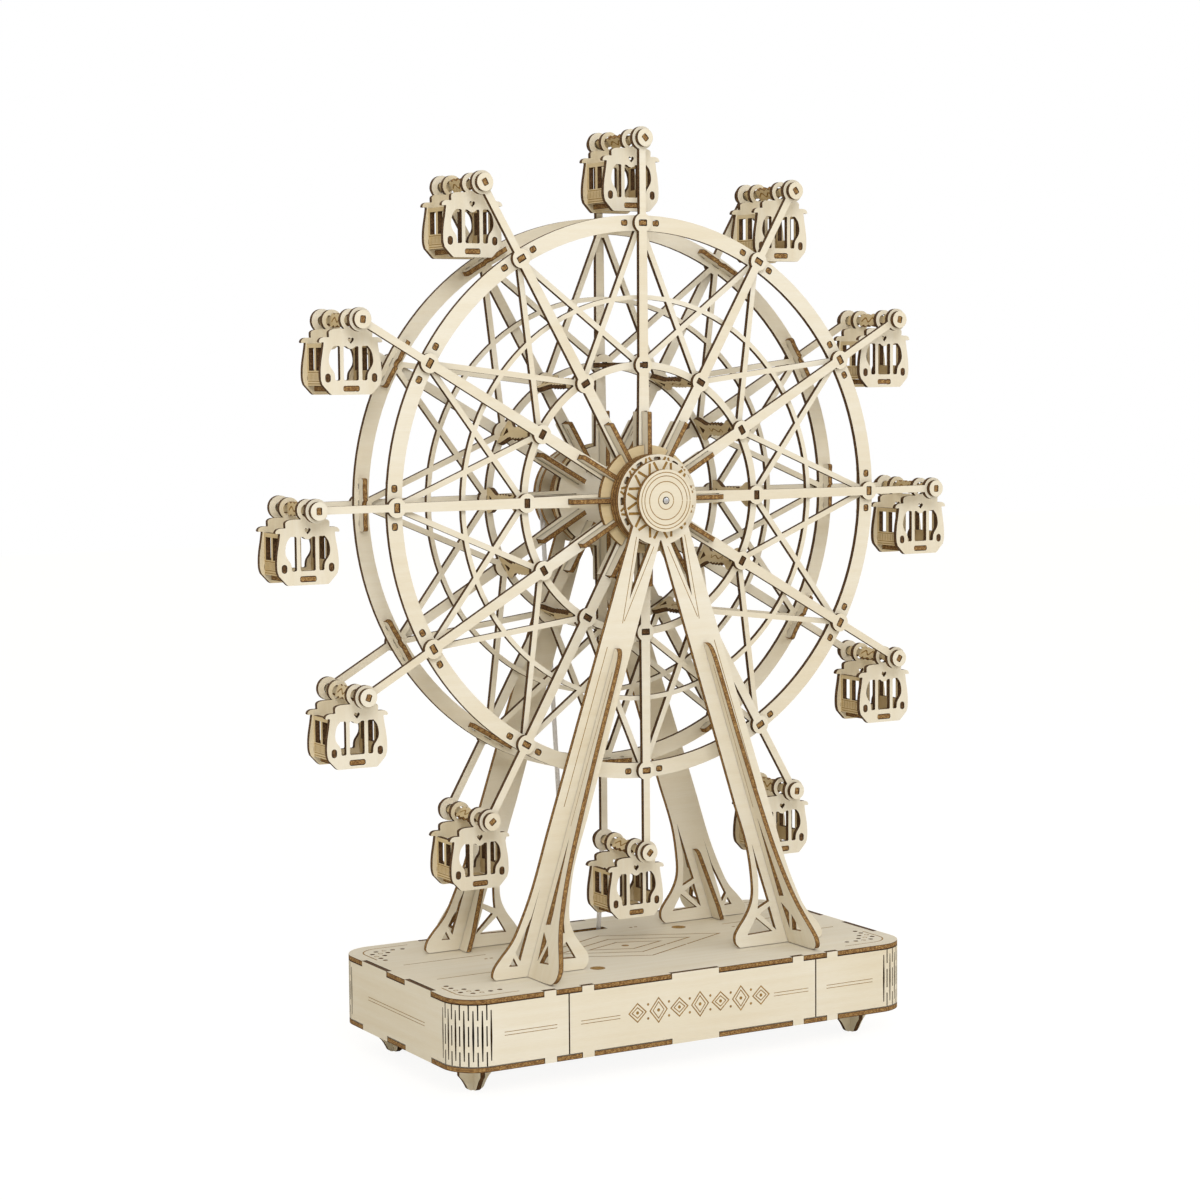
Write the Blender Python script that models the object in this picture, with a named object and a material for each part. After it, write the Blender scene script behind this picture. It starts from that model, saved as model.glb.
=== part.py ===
"""A laser-cut plywood ferris wheel kit: twelve gondolas, turned by a belt from a wind-up movement.

Metres, Z up. The origin is on the table under the middle of the base. The wheel turns about Y
and its front faces -Y. Pieces are drawn as outlines, the way the kit's sheets are cut, and given
their thickness along one axis.
"""

import math

import bmesh
import bpy
from mathutils import Matrix

# Stock and fits
PLY = 0.0020                  # every plywood piece
GAP = 0.0003                  # between pieces that touch
LAP = 0.0004                  # how far shapes of one piece run into each other

# Base box
BASE_LENGTH = 0.2100
BASE_WIDTH = 0.1100
BASE_CORNER = 0.0140
BASE_HEIGHT = 0.0283          # over both plates
FOOT_HEIGHT = 0.0115
FOOT_INSET_X = 0.0163         # from the ends of the base to a foot's middle
FOOT_INSET_Y = 0.0197
FOOT_TOP_HALF = 0.0070
FOOT_TOE_HALF = 0.0027
SEAM_X = 0.0574               # where the long panels meet the panels that wrap round the ends
CENTRE_TAB = 0.0218
SMALL_TAB = 0.0052
PANEL_TAB_X = 0.0489
WRAP_TAB_X = 0.0656
SIDE_TAB = 0.0227
SIDE_TAB_Y = 0.0197

# Wheel
SPOKES = 12
GONDOLA_CLEARANCE = 0.0133    # from the base to the lowest gondola
NODE_RADIUS = 0.1100          # eyes on the outer band
INNER_NODE_RADIUS = 0.0536
PIVOT_RADIUS = 0.1434         # where the gondolas hang
OUTER_BAND = 0.0062
MIDDLE_RING_RADIUS = 0.0806
MIDDLE_BAND = 0.0018
INNER_BAND = 0.0028
STRUT = 0.0022
PAD = 0.0045                  # from a node to the nearest corner of a cut-out
RIM_INNER_FACE = 0.0140       # from the wheel's middle plane
EYE_RADIUS = 0.0038
PIVOT_EYE_RADIUS = 0.0049
SPOKE_ROOT = 0.0053
SPOKE_MIDDLE = 0.0041
SPOKE_OUTER = 0.0033
SPOKE_END = 0.0029
BRACKET_LENGTH = 0.0207
BRACKET_DEPTH = 0.0040
CROSS_PLATE_END = 0.0100
CROSS_PLATE_WAIST = 0.0044

# Hub
HUB_PLATE_RADIUS = 0.0217
FIN_ROOT = 0.0123
FIN_REACH = 0.0350
FIN_INNER_EDGE = 0.0110
HUB_STACK_RADIUS = 0.0182
HUB_STACK_PLIES = 3
AXLE_RADIUS = 0.00125

# Towers
TOWER_INNER_FACE = 0.0284
HEAD_RADIUS = 0.0160
LEG_HEAD_X = 0.0021           # a leg's middle line at the height of the axle
LEG_FOOT_X = 0.0614           # and at the base
TOE_INWARD = 0.0253           # from that line to the foot's toes
TOE_OUTWARD = 0.0153
SPLAY_RISE = 0.0595           # where the foot has narrowed to the leg
NOTCH_MARGIN = 0.0019         # between the head's edge and the notches under it
NOTCH_DROP = 0.0387
STIFFENER_RISE = 0.1272
STIFFENER_MARGIN = 0.0027     # from its toe to the edge of the base
BRACE_RISE = 0.0312
BRACE_FOOT = 0.0062
BRACE_SLOT = 0.0100
CAP_RADIUS = 0.0124
CAP_SPACER_RADIUS = 0.0090

# Belt drive and movement
BELT_Y = 0.0356
BELT_RADIUS = 0.0010
HUB_PULLEY_RADIUS = 0.0180    # to the middle of the belt
DRIVE_PULLEY_RADIUS = 0.0070
HUB_FLANGE_LIP = 0.0020       # past the middle of the belt
DRIVE_FLANGE_LIP = 0.0015
PULLEY_BOSS_RADIUS = 0.0060
DRIVE_RISE = 0.0144           # drive shaft above the bottom of the base
BELT_SLOT_LENGTH = 0.0220
BELT_SLOT_WIDTH = 0.0043
SHAFT_RADIUS = 0.0012
SHAFT_START = 0.0085
BEDPLATE_LENGTH = 0.0500
BEDPLATE_WIDTH = 0.0340
BEDPLATE_Y = 0.0120
POST_WIDTH = 0.0080
POST_Y = (0.0100, 0.0260)
BARREL_RADIUS = 0.0095
BARREL_HEIGHT = 0.0140
BARREL_X = -0.0145
BARREL_Y = 0.0080
KEY_SHAFT_RADIUS = 0.0018
KEY_SPAN = 0.0180
KEY_HEIGHT = 0.0060
KEY_THICKNESS = 0.0016
KEY_CLEARANCE = 0.0025        # above the table

# Gondolas, with heights counted down from the pivot
ROD_WIDTH = 0.0030
COLLAR_RADIUS = 0.0041
CABIN_DEPTH = 0.0188
RING_RADIUS = 0.0040
NECK_HALF = 0.0032
CROWN_HALF = 0.0072
SHOULDER_HALF = 0.0126
EAVE_HALF = 0.0133
CABIN_HALF = 0.0120
CABIN_FLOOR_HALF = 0.0082
CROWN_DROP = 0.0039
SHOULDER_DROP = 0.0071
EAVE_DROP = 0.0088
CHAMFER_DROP = 0.0223
CABIN_DROP = 0.0285
WINDOW_TOP = 0.0103
WINDOW_BOTTOM = 0.0230
WINDOW_HALF = 0.0086
WINDOW_SILL_HALF = 0.0076
WINDOW_BAR = 0.0014
WINDOW_BAR_X = 0.0038
WALL_X = 0.0096
FLOOR_HALF = 0.0080
FLOOR_DROP = 0.0263

# Planes and levels that follow from the sizes
BASE_TOP = FOOT_HEIGHT + BASE_HEIGHT
WALL_BOTTOM = FOOT_HEIGHT + PLY + GAP
WALL_TOP = BASE_TOP - PLY - GAP
HUB_ABOVE_BASE = PIVOT_RADIUS + CABIN_DROP + GONDOLA_CLEARANCE
HUB_Z = BASE_TOP + HUB_ABOVE_BASE
RIM_FACE = RIM_INNER_FACE + PLY
SPOKE_BACK = RIM_FACE + GAP
SPOKE_FACE = SPOKE_BACK + PLY
COLLAR_BACK = SPOKE_FACE + GAP
COLLAR_FACE = COLLAR_BACK + PLY
STACK_FACE = TOWER_INNER_FACE - GAP
STACK_BACK = STACK_FACE - HUB_STACK_PLIES * PLY
TOWER_FACE = TOWER_INNER_FACE + PLY
STIFFENER_FOOT = BASE_WIDTH / 2 - TOWER_FACE - STIFFENER_MARGIN
CAP_BACK = TOWER_FACE + GAP
CAP_FACE = CAP_BACK + 2 * PLY
GROOVE_HALF = BELT_RADIUS + GAP
PULLEY_BACK = BELT_Y - GROOVE_HALF - PLY
PULLEY_FACE = BELT_Y + GROOVE_HALF + PLY
AXLE_BORE = AXLE_RADIUS + GAP
DRIVE_Z = FOOT_HEIGHT + DRIVE_RISE
LEG_SLOPE = (LEG_FOOT_X - LEG_HEAD_X) / HUB_ABOVE_BASE
BEDPLATE_TOP = WALL_BOTTOM + PLY
ROD_BORE = math.hypot(ROD_WIDTH, PLY) / 2 + GAP
PITCH = 360.0 / SPOKES
FRONT, BACK = -1, 1
LEFT, RIGHT = -1, 1

for leftover in list(bpy.data.objects):
    bpy.data.objects.remove(leftover, do_unlink=True)


def material(name, colour, roughness, metallic=0.0):
    made = bpy.data.materials.new(name)
    made.use_nodes = True
    shader = made.node_tree.nodes["Principled BSDF"]
    shader.inputs["Base Color"].default_value = (*colour, 1.0)
    shader.inputs["Roughness"].default_value = roughness
    shader.inputs["Metallic"].default_value = metallic
    return made


VENEER = material("birch_plywood", (0.80, 0.72, 0.56), 0.60)
STEEL = material("steel", (0.62, 0.62, 0.64), 0.30, 1.0)
CLEAR = material("clear_belt", (0.86, 0.85, 0.84), 0.35)
BRASS = material("brass", (0.70, 0.55, 0.28), 0.35, 1.0)


# Drawing
def polar(radius, degrees):
    angle = math.radians(degrees)
    return (radius * math.cos(angle), radius * math.sin(angle))


def bearing(point):
    """Degrees from the drawing's first axis."""
    return math.degrees(math.atan2(point[1], point[0]))


def arc(radius, start, end, steps, centre=(0.0, 0.0)):
    """Points on an arc, both ends included."""
    points = []
    for step in range(steps + 1):
        u, v = polar(radius, start + (end - start) * step / steps)
        points.append((centre[0] + u, centre[1] + v))
    return points


def circle(radius, sides, centre=(0.0, 0.0)):
    return arc(radius, 0.0, 360.0 - 360.0 / sides, sides - 1, centre)


def bore(radius, sides, centre=(0.0, 0.0)):
    """A hole whose flats, not its corners, stand at the radius."""
    return circle(radius / math.cos(math.pi / sides), sides, centre)


def box(left, right, bottom, top):
    return [(left, bottom), (right, bottom), (right, top), (left, top)]


def spun(points, degrees):
    """A drawing turned about its origin."""
    c, s = polar(1.0, degrees)
    return [(c * u - s * v, s * u + c * v) for u, v in points]


def flipped(points):
    """The mirror image across the second axis, listed backwards."""
    return [(-u, v) for u, v in reversed(points)]


def crosswise(points):
    """The mirror image across the first axis, listed backwards."""
    return [(u, -v) for u, v in reversed(points)]


def beside(a, b, shift):
    """The line from a to b moved to its left."""
    du, dv = b[0] - a[0], b[1] - a[1]
    scale = shift / math.hypot(du, dv)
    return ((a[0] - dv * scale, a[1] + du * scale), (b[0] - dv * scale, b[1] + du * scale))


def meeting(line, other):
    """Where two lines cross."""
    (a, b), (c, d) = line
    (e, f), (g, h) = other
    turn = (c - a) * (h - f) - (d - b) * (g - e)
    t = ((e - a) * (h - f) - (f - b) * (g - e)) / turn
    return (a + t * (c - a), b + t * (d - b))


def at_radius(line, radius):
    """Where a line that runs inward from outside first meets a circle about the origin."""
    (a, b), (c, d) = line
    du, dv = c - a, d - b
    p = du * du + dv * dv
    q = a * du + b * dv
    t = (-q - math.sqrt(q * q - p * (a * a + b * b - radius * radius))) / p
    return (a + t * du, b + t * dv)


# Solids
def finished(bm):
    bmesh.ops.recalc_face_normals(bm, faces=bm.faces)
    mesh = bpy.data.meshes.new("shape")
    bm.to_mesh(mesh)
    bm.free()
    return mesh


def plate(outline, near, far, holes=(), axis="Y"):
    """A flat piece cut from an outline and thick along one axis."""
    place = {
        "X": lambda u, v, w: (w, u, v),
        "Y": lambda u, v, w: (u, w, v),
        "Z": lambda u, v, w: (u, v, w),
    }[axis]
    bm = bmesh.new()
    edges = []
    for loop in (outline, *holes):
        corners = [bm.verts.new(place(u, v, near)) for u, v in loop]
        edges += [bm.edges.new((corners[i - 1], corners[i])) for i in range(len(corners))]
    bmesh.ops.triangle_fill(bm, use_beauty=True, edges=edges, normal=place(0.0, 0.0, 1.0))
    raised = bmesh.ops.extrude_face_region(bm, geom=bm.faces[:])["geom"]
    corners = [item for item in raised if isinstance(item, bmesh.types.BMVert)]
    bmesh.ops.translate(bm, verts=corners, vec=place(0.0, 0.0, far - near))
    return finished(bm)


def lathe(profile, sides, inside=None):
    """A body turned about Y from (distance along Y, radius) pairs, bored where inside is given."""
    loop = list(profile)
    if inside:
        loop += [(profile[-1][0], inside), (profile[0][0], inside)]
    bm = bmesh.new()
    rings = [[bm.verts.new((u, y, v)) for u, v in circle(radius, sides)] for y, radius in loop]
    following = rings[1:] + rings[:1] if inside else rings[1:]
    for here, there in zip(rings, following):
        for i in range(sides):
            bm.faces.new((here[i - 1], here[i], there[i], there[i - 1]))
    if not inside:
        bm.faces.new(rings[0])
        bm.faces.new(rings[-1])
    return finished(bm)


def blocks(cells):
    """One body from upright blocks that share whole faces, each a footprint and two heights."""
    bm = bmesh.new()
    made = {}
    faces = {}

    def corner(point):
        key = tuple(round(value, 7) for value in point)
        if key not in made:
            made[key] = bm.verts.new(point)
        return made[key]

    for footprint, low, high in cells:
        floor = [corner((x, y, low)) for x, y in footprint]
        roof = [corner((x, y, high)) for x, y in footprint]
        walls = [(floor[i - 1], floor[i], roof[i], roof[i - 1]) for i in range(4)]
        for face in (floor, roof, *walls):
            key = frozenset(face)
            if faces.pop(key, None) is None:
                faces[key] = face
    for face in faces.values():
        bm.faces.new(face)
    bmesh.ops.dissolve_limit(bm, angle_limit=0.001, verts=bm.verts[:], edges=bm.edges[:])
    return finished(bm)


def group(meshes):
    """Several shapes in one mesh, each still its own shell."""
    bm = bmesh.new()
    for mesh in meshes:
        bm.from_mesh(mesh)
    return finished(bm)


def moved(mesh, matrix):
    copy = mesh.copy()
    copy.transform(matrix)
    return copy


def ring_of(mesh):
    """A shape drawn at the top of the wheel, repeated at every spoke."""
    turns = [Matrix.Rotation(math.radians(k * PITCH), 4, "Y") for k in range(SPOKES)]
    return group([moved(mesh, turn) for turn in turns])


def joined(body, *others):
    """One closed body from shapes that run into each other."""
    target = bpy.data.objects.new("target", body)
    bpy.context.collection.objects.link(target)
    helpers = []
    for other in others:
        helper = bpy.data.objects.new("helper", other)
        bpy.context.collection.objects.link(helper)
        helpers.append(helper)
        modifier = target.modifiers.new("join", "BOOLEAN")
        modifier.operation = "UNION"
        modifier.solver = "EXACT"
        modifier.object = helper
    depsgraph = bpy.context.evaluated_depsgraph_get()
    result = bpy.data.meshes.new_from_object(target.evaluated_get(depsgraph))
    for helper in (target, *helpers):
        bpy.data.objects.remove(helper, do_unlink=True)
    return result


def add(name, mesh, finish, location=(0.0, 0.0, 0.0)):
    """Put a piece in the model under its own name."""
    piece = bpy.data.objects.new(name, mesh)
    bpy.context.collection.objects.link(piece)
    mesh.materials.clear()
    mesh.materials.append(finish)
    mesh.shade_smooth()
    mesh.set_sharp_from_angle(angle=math.radians(35))
    piece.location = location


def layer(inner, outer, side):
    """Near and far planes of a layer on the front or back of the wheel's middle plane."""
    return sorted((side * inner, side * outer))


# Base box
def stepped_edge(start, end, tabs, depth, margin=0.0):
    """An edge with a step at each (middle, length), to the left of its run for a positive depth."""
    du, dv = end[0] - start[0], end[1] - start[1]
    length = math.hypot(du, dv)
    du, dv = du / length, dv / length
    middle = ((start[0] + end[0]) / 2, (start[1] + end[1]) / 2)
    points = [start]
    for centre, span in sorted(tabs):
        low, high = centre - span / 2 - margin, centre + span / 2 + margin
        for run, rise in ((low, 0.0), (low, depth), (high, depth), (high, 0.0)):
            points.append((middle[0] + du * run - dv * rise, middle[1] + dv * run + du * rise))
    return points + [end]


def base_outline():
    """The rounded plate, notched where the panels' tabs come through its edge."""
    half_l, half_w, r = BASE_LENGTH / 2, BASE_WIDTH / 2, BASE_CORNER
    long_tabs = [(0.0, CENTRE_TAB)]
    for x in (PANEL_TAB_X, WRAP_TAB_X):
        long_tabs += [(-x, SMALL_TAB), (x, SMALL_TAB)]
    end_tabs = [(-SIDE_TAB_Y, SIDE_TAB), (SIDE_TAB_Y, SIDE_TAB)]
    notch = PLY + GAP
    right = stepped_edge((half_l, r - half_w), (half_l, half_w - r), end_tabs, notch, GAP)
    back = stepped_edge((half_l - r, half_w), (r - half_l, half_w), long_tabs, notch, GAP)
    corner = arc(r, 0, 90, 4, (half_l - r, half_w - r))[1:-1]
    half = right + corner + back + [(-x, y) for x, y in reversed(corner)]
    return half + spun(half, 180)


def long_panel():
    """A front or back panel of the base, with tabs that run up and down through the plates."""
    x = SEAM_X - GAP / 2
    tabs = [(0.0, CENTRE_TAB), (-PANEL_TAB_X, SMALL_TAB), (PANEL_TAB_X, SMALL_TAB)]
    reach = -(PLY + GAP)
    below = stepped_edge((-x, WALL_BOTTOM), (x, WALL_BOTTOM), tabs, reach)
    above = stepped_edge((x, WALL_TOP), (-x, WALL_TOP), tabs, reach)
    return plate(below + above, *layer(BASE_WIDTH / 2 - PLY, BASE_WIDTH / 2, FRONT))


def wrap_panel(side):
    """An end panel, bent round both corners of the base."""
    half_l, half_w, r = BASE_LENGTH / 2, BASE_WIDTH / 2, BASE_CORNER
    front_tab = (WRAP_TAB_X - SMALL_TAB / 2, WRAP_TAB_X + SMALL_TAB / 2)
    end_tab = (SIDE_TAB_Y + SIDE_TAB / 2, SIDE_TAB_Y - SIDE_TAB / 2)
    bend = (half_l - r, half_w - r)
    outside = [(x, half_w) for x in (SEAM_X + GAP / 2, *front_tab)] + arc(r, 90, 0, 4, bend)
    outside += [(half_l, y) for y in end_tab]
    inside = [(x, half_w - PLY) for x in (SEAM_X + GAP / 2, *front_tab)] + arc(r - PLY, 90, 0, 4, bend)
    inside += [(half_l - PLY, y) for y in end_tab]
    outside += crosswise(outside)
    inside += crosswise(inside)
    last = len(outside) - 2
    tabbed = (1, last // 2 - 1, last // 2 + 1, last - 1)
    cells = []
    for i in range(last + 1):
        corners = (outside[i], outside[i + 1], inside[i + 1], inside[i])
        footprint = [(side * x, y) for x, y in corners]
        cells.append((footprint, WALL_BOTTOM, WALL_TOP))
        if i in tabbed:
            cells.append((footprint, FOOT_HEIGHT, WALL_BOTTOM))
            cells.append((footprint, WALL_TOP, BASE_TOP))
    return blocks(cells)


def foot():
    """Two crossed pieces under a corner of the base, hollowed down to a small toe."""
    top = FOOT_HEIGHT - GAP
    edge = [
        (FOOT_TOE_HALF, 0.0),
        (FOOT_TOE_HALF, top * 0.25),
        (FOOT_TOP_HALF * 0.60, top * 0.55),
        (FOOT_TOP_HALF, top),
    ]
    outline = edge + flipped(edge)
    across = plate(outline, -PLY / 2, PLY / 2, axis="X")
    return joined(plate(outline, -PLY / 2, PLY / 2), across)


def build_base():
    outline = base_outline()
    key_hole = bore(KEY_SHAFT_RADIUS + GAP, 10, (BARREL_X, BARREL_Y))
    half_length, half_width = BELT_SLOT_LENGTH / 2, BELT_SLOT_WIDTH / 2
    belt_slot = box(-half_length, half_length, BELT_Y - half_width, BELT_Y + half_width)
    add("bottom_plate", plate(outline, FOOT_HEIGHT, FOOT_HEIGHT + PLY, [key_hole], "Z"), VENEER)
    add("top_plate", plate(outline, BASE_TOP - PLY, BASE_TOP, [belt_slot], "Z"), VENEER)
    panel = long_panel()
    add("front_panel", panel, VENEER)
    add("back_panel", moved(panel, Matrix.Rotation(math.pi, 4, "Z")), VENEER)
    add("left_wrap_panel", wrap_panel(LEFT), VENEER)
    add("right_wrap_panel", wrap_panel(RIGHT), VENEER)
    corner_foot = foot()
    for end, side in (("front", FRONT), ("back", BACK)):
        for hand_name, hand in (("left", LEFT), ("right", RIGHT)):
            x, y = hand * (BASE_LENGTH / 2 - FOOT_INSET_X), side * (BASE_WIDTH / 2 - FOOT_INSET_Y)
            add(f"{end}_{hand_name}_foot", corner_foot, VENEER, (x, y, 0.0))


# Towers, drawn with heights above the base
def leg_x(rise):
    """A leg's middle line."""
    return LEG_FOOT_X - LEG_SLOPE * rise


def splayed(points):
    """Points of the right foot from shares of its width, from the inner toe, and of its rise."""
    placed = []
    for across, up in points:
        x, z = across * (TOE_INWARD + TOE_OUTWARD) - TOE_INWARD, up * SPLAY_RISE
        placed.append((leg_x(z) + x, z))
    return placed


def leg_cutouts():
    """Openings in the right leg, from the notch under the head to the lattice of its foot."""
    low, high = BRACE_RISE + GAP, BRACE_RISE + BRACE_SLOT
    half = PLY / 2 + GAP
    slot = [(leg_x(low) - half, low), (leg_x(low) + half, low)]
    slot += [(leg_x(high) + half, high), (leg_x(high) - half, high)]
    tip = HUB_ABOVE_BASE - NOTCH_DROP
    notch = [(leg_x(tip), tip)]
    notch += arc(HEAD_RADIUS + NOTCH_MARGIN, -56, -75, 1, (0.0, HUB_ABOVE_BASE))
    inner_blade = [(0.501, 0.721), (0.467, 0.503), (0.410, 0.365), (0.352, 0.262), (0.513, 0.306)]
    outer_blade = [(0.771, 0.593), (0.775, 0.113), (0.854, 0.171), (0.781, 0.400)]
    upper_web = [(0.364, 0.225), (0.501, 0.097), (0.501, 0.271)]
    lower_web = [(0.147, 0.087), (0.453, 0.094), (0.306, 0.205)]
    toe_web = [(0.787, 0.082), (0.885, 0.086), (0.859, 0.141)]
    foot_webs = [splayed(web) for web in (inner_blade, outer_blade, upper_web, lower_web, toe_web)]
    return [notch, slot, *foot_webs]


def tower(side):
    """A two-legged tower cut in one piece with the round head that carries the axle."""
    head = arc(HEAD_RADIUS, 90, -38, 8, (0.0, HUB_ABOVE_BASE))
    outer_edge = [(0.842, 0.592), (0.881, 0.339), (0.919, 0.232), (0.989, 0.155), (1.033, 0.081)]
    inner_edge = [(0.071, 0.129), (0.219, 0.235), (0.329, 0.339), (0.392, 0.474), (0.446, 0.709)]
    inner_edge += [(0.442, 1.0)]
    toes = [(leg_x(GAP) + TOE_OUTWARD, GAP), (leg_x(GAP) - TOE_INWARD, GAP)]
    crotch = (GAP, HUB_ABOVE_BASE - HEAD_RADIUS)
    half = head + splayed(outer_edge) + toes + splayed(inner_edge) + [crotch]
    outline = half + flipped(half[1:])
    holes = [bore(AXLE_BORE, 8, (0.0, HUB_ABOVE_BASE))]
    for cutout in leg_cutouts():
        holes += [cutout, flipped(cutout)]
    return moved(plate(outline, *layer(TOWER_INNER_FACE, TOWER_FACE, side), holes), on_base())


def on_base():
    return Matrix.Translation((0.0, 0.0, BASE_TOP))


def leg_plate(outline, holes, side, hand):
    """A plate square to the tower on a leg's middle line, from distances outward and heights."""
    half = PLY / 2 * math.hypot(1.0, LEG_SLOPE)
    loops = [[(side * y, z) for y, z in loop] for loop in (outline, *holes)]
    lean = Matrix.Identity(4)
    lean[0][2] = -hand * LEG_SLOPE
    lean[0][3] = hand * LEG_FOOT_X
    return moved(plate(loops[0], -half, half, loops[1:], "X"), on_base() @ lean)


def stiffener(side, hand):
    """The long fin on a leg's outer face, spread into a lattice foot."""
    edge = [(1.0, 0.029), (0.986, 0.051), (0.685, 0.143), (0.516, 0.224), (0.388, 0.332)]
    edge += [(0.315, 0.473), (0.251, 0.692), (0.215, 0.921), (0.174, 0.980), (0.091, 0.998)]
    blade = [(0.169, 0.429), (0.160, 0.163), (0.333, 0.169)]
    upper_web = [(0.164, 0.142), (0.210, 0.055), (0.356, 0.116)]
    lower_web = [(0.292, 0.052), (0.612, 0.057), (0.420, 0.108)]
    loops = []
    for shares in (edge, blade, upper_web, lower_web):
        loops.append([(TOWER_FACE + y * STIFFENER_FOOT, z * STIFFENER_RISE) for y, z in shares])
    toe = (TOWER_FACE + 0.927 * STIFFENER_FOOT, GAP)
    against_leg = [(TOWER_FACE + GAP, STIFFENER_RISE), (TOWER_FACE + GAP, GAP)]
    return leg_plate([toe] + loops[0] + against_leg, loops[1:], side, hand)


def brace(side, hand):
    """The short fin on a leg's inner face."""
    face = TOWER_INNER_FACE - GAP
    outline = [(face, GAP), (face - BRACE_FOOT, GAP)]
    for inward, up in ((1.0, 0.199), (0.500, 0.840), (0.355, 0.962), (0.0, 1.0)):
        outline.append((face - inward * BRACE_FOOT, up * BRACE_RISE))
    return leg_plate(outline, [], side, hand)


def build_towers():
    for end, side in (("front", FRONT), ("back", BACK)):
        add(f"{end}_tower", tower(side), VENEER)
        for hand_name, hand in (("left", LEFT), ("right", RIGHT)):
            add(f"{end}_{hand_name}_stiffener", stiffener(side, hand), VENEER)
            add(f"{end}_{hand_name}_brace", brace(side, hand), VENEER)
    step = -CAP_BACK - PLY
    profile = [(-CAP_BACK, CAP_SPACER_RADIUS), (step, CAP_SPACER_RADIUS)]
    profile += [(step, CAP_RADIUS), (-CAP_FACE, CAP_RADIUS)]
    add("axle_cap", lathe(profile, 20, AXLE_BORE), VENEER, (0.0, 0.0, HUB_Z))


# Wheel, drawn about its axis
def lattice_cutouts():
    """Openings of one pitch of the rim, with a spoke's direction along the first axis."""
    half = STRUT / 2
    band = NODE_RADIUS - OUTER_BAND / 2
    ring_out, ring_in = MIDDLE_RING_RADIUS + MIDDLE_BAND / 2, MIDDLE_RING_RADIUS - MIDDLE_BAND / 2
    inner_band = INNER_NODE_RADIUS + INNER_BAND / 2
    node, inner_node = (NODE_RADIUS, 0.0), (INNER_NODE_RADIUS, 0.0)
    falling = (node, polar(INNER_NODE_RADIUS, PITCH))
    rising = (polar(NODE_RADIUS, PITCH), inner_node)
    bisector = ((0.0, 0.0), polar(NODE_RADIUS, PITCH / 2))
    outside, inside = beside(*falling, -half), beside(*falling, half)
    above, below = beside(*rising, -half), beside(*rising, half)

    first, second = bearing(at_radius(outside, band)), bearing(at_radius(outside, ring_out))
    window = arc(band, first, PITCH - first, 2) + arc(ring_out, PITCH - second, second, 1)
    first = bearing(at_radius(outside, ring_in))
    wedge = [polar(ring_in, first), polar(ring_in, PITCH - first), meeting(outside, bisector)]
    first = bearing(at_radius(above, inner_band))
    fan = arc(inner_band, first, PITCH - first, 2) + [meeting(above, bisector)]

    tip = meeting(inside, ((NODE_RADIUS - PAD, 0.0), (NODE_RADIUS - PAD, PAD)))
    first = bearing(at_radius(inside, ring_out))
    spear = crosswise([tip]) + [tip] + arc(ring_out, first, -first, 1)
    foot_line = ((INNER_NODE_RADIUS + PAD, 0.0), (INNER_NODE_RADIUS + PAD, PAD))
    flank = [meeting(inside, below), meeting(below, foot_line)]
    first = bearing(at_radius(inside, ring_in))
    kite = arc(ring_in, -first, first, 1) + flank + crosswise(flank)
    return [window, wedge, fan, spear, kite]


def brackets(side):
    """Low plates square to the rim, behind each outer node."""
    half = BRACKET_LENGTH / 2
    edge = [(half, RIM_INNER_FACE + LAP), (half - PLY, RIM_INNER_FACE - BRACKET_DEPTH)]
    outline = [(x, side * y) for x, y in edge + flipped(edge)]
    return ring_of(plate(outline, NODE_RADIUS - PLY / 2, NODE_RADIUS + PLY / 2, axis="Z"))


def cross_plates():
    """The waisted plates that hold the rims apart at the inner nodes."""
    end, waist = CROSS_PLATE_END / 2, CROSS_PLATE_WAIST / 2
    near, far = GAP - RIM_INNER_FACE, RIM_INNER_FACE + LAP
    edge = [(end, near), (waist, near / 2), (waist, far / 2), (end, far)]
    outline = edge + flipped(edge)
    return ring_of(plate(outline, INNER_NODE_RADIUS - PLY / 2, INNER_NODE_RADIUS + PLY / 2, axis="Z"))


def rim(side):
    """Outer band, two inner rings and the crossed struts between them, cut from one sheet."""
    holes = [circle(INNER_NODE_RADIUS - INNER_BAND / 2, 24)]
    for k in range(SPOKES):
        holes += [spun(cutout, k * PITCH) for cutout in lattice_cutouts()]
    outline = circle(NODE_RADIUS + OUTER_BAND / 2, 36)
    return plate(outline, *layer(RIM_INNER_FACE, RIM_FACE, side), holes)


def spoke_edge():
    """The upper edge of a spoke that runs along the first axis, from its tip to the hub plate."""
    end = math.degrees(math.asin(SPOKE_END / 2 / PIVOT_EYE_RADIUS))
    points = arc(PIVOT_EYE_RADIUS, 0, 180 - end, 3, (PIVOT_RADIUS, 0.0))
    for radius, width in ((NODE_RADIUS, SPOKE_OUTER), (INNER_NODE_RADIUS, SPOKE_MIDDLE)):
        end = math.degrees(math.asin(width / 2 / EYE_RADIUS))
        points += arc(EYE_RADIUS, end, 180 - end, 2, (radius, 0.0))
    root = math.degrees(math.asin(SPOKE_ROOT / 2 / HUB_PLATE_RADIUS))
    return points + [polar(HUB_PLATE_RADIUS, root)]


def spokes(side):
    """Hub plate and twelve spokes in one sheet, slotted for the fins."""
    edge = spoke_edge()
    arm = crosswise(edge) + edge[1:]
    slot = box(FIN_ROOT - GAP, FIN_REACH + GAP, -PLY / 2 - GAP, PLY / 2 + GAP)
    eye = bore(ROD_BORE, 6, (PIVOT_RADIUS, 0.0))
    outline, holes = [], [bore(AXLE_BORE, 8)]
    for k in range(SPOKES):
        outline += spun(arm, k * PITCH)
        holes += [spun(slot, k * PITCH), spun(eye, k * PITCH)]
    return plate(outline, *layer(SPOKE_BACK, SPOKE_FACE, side), holes)


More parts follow.
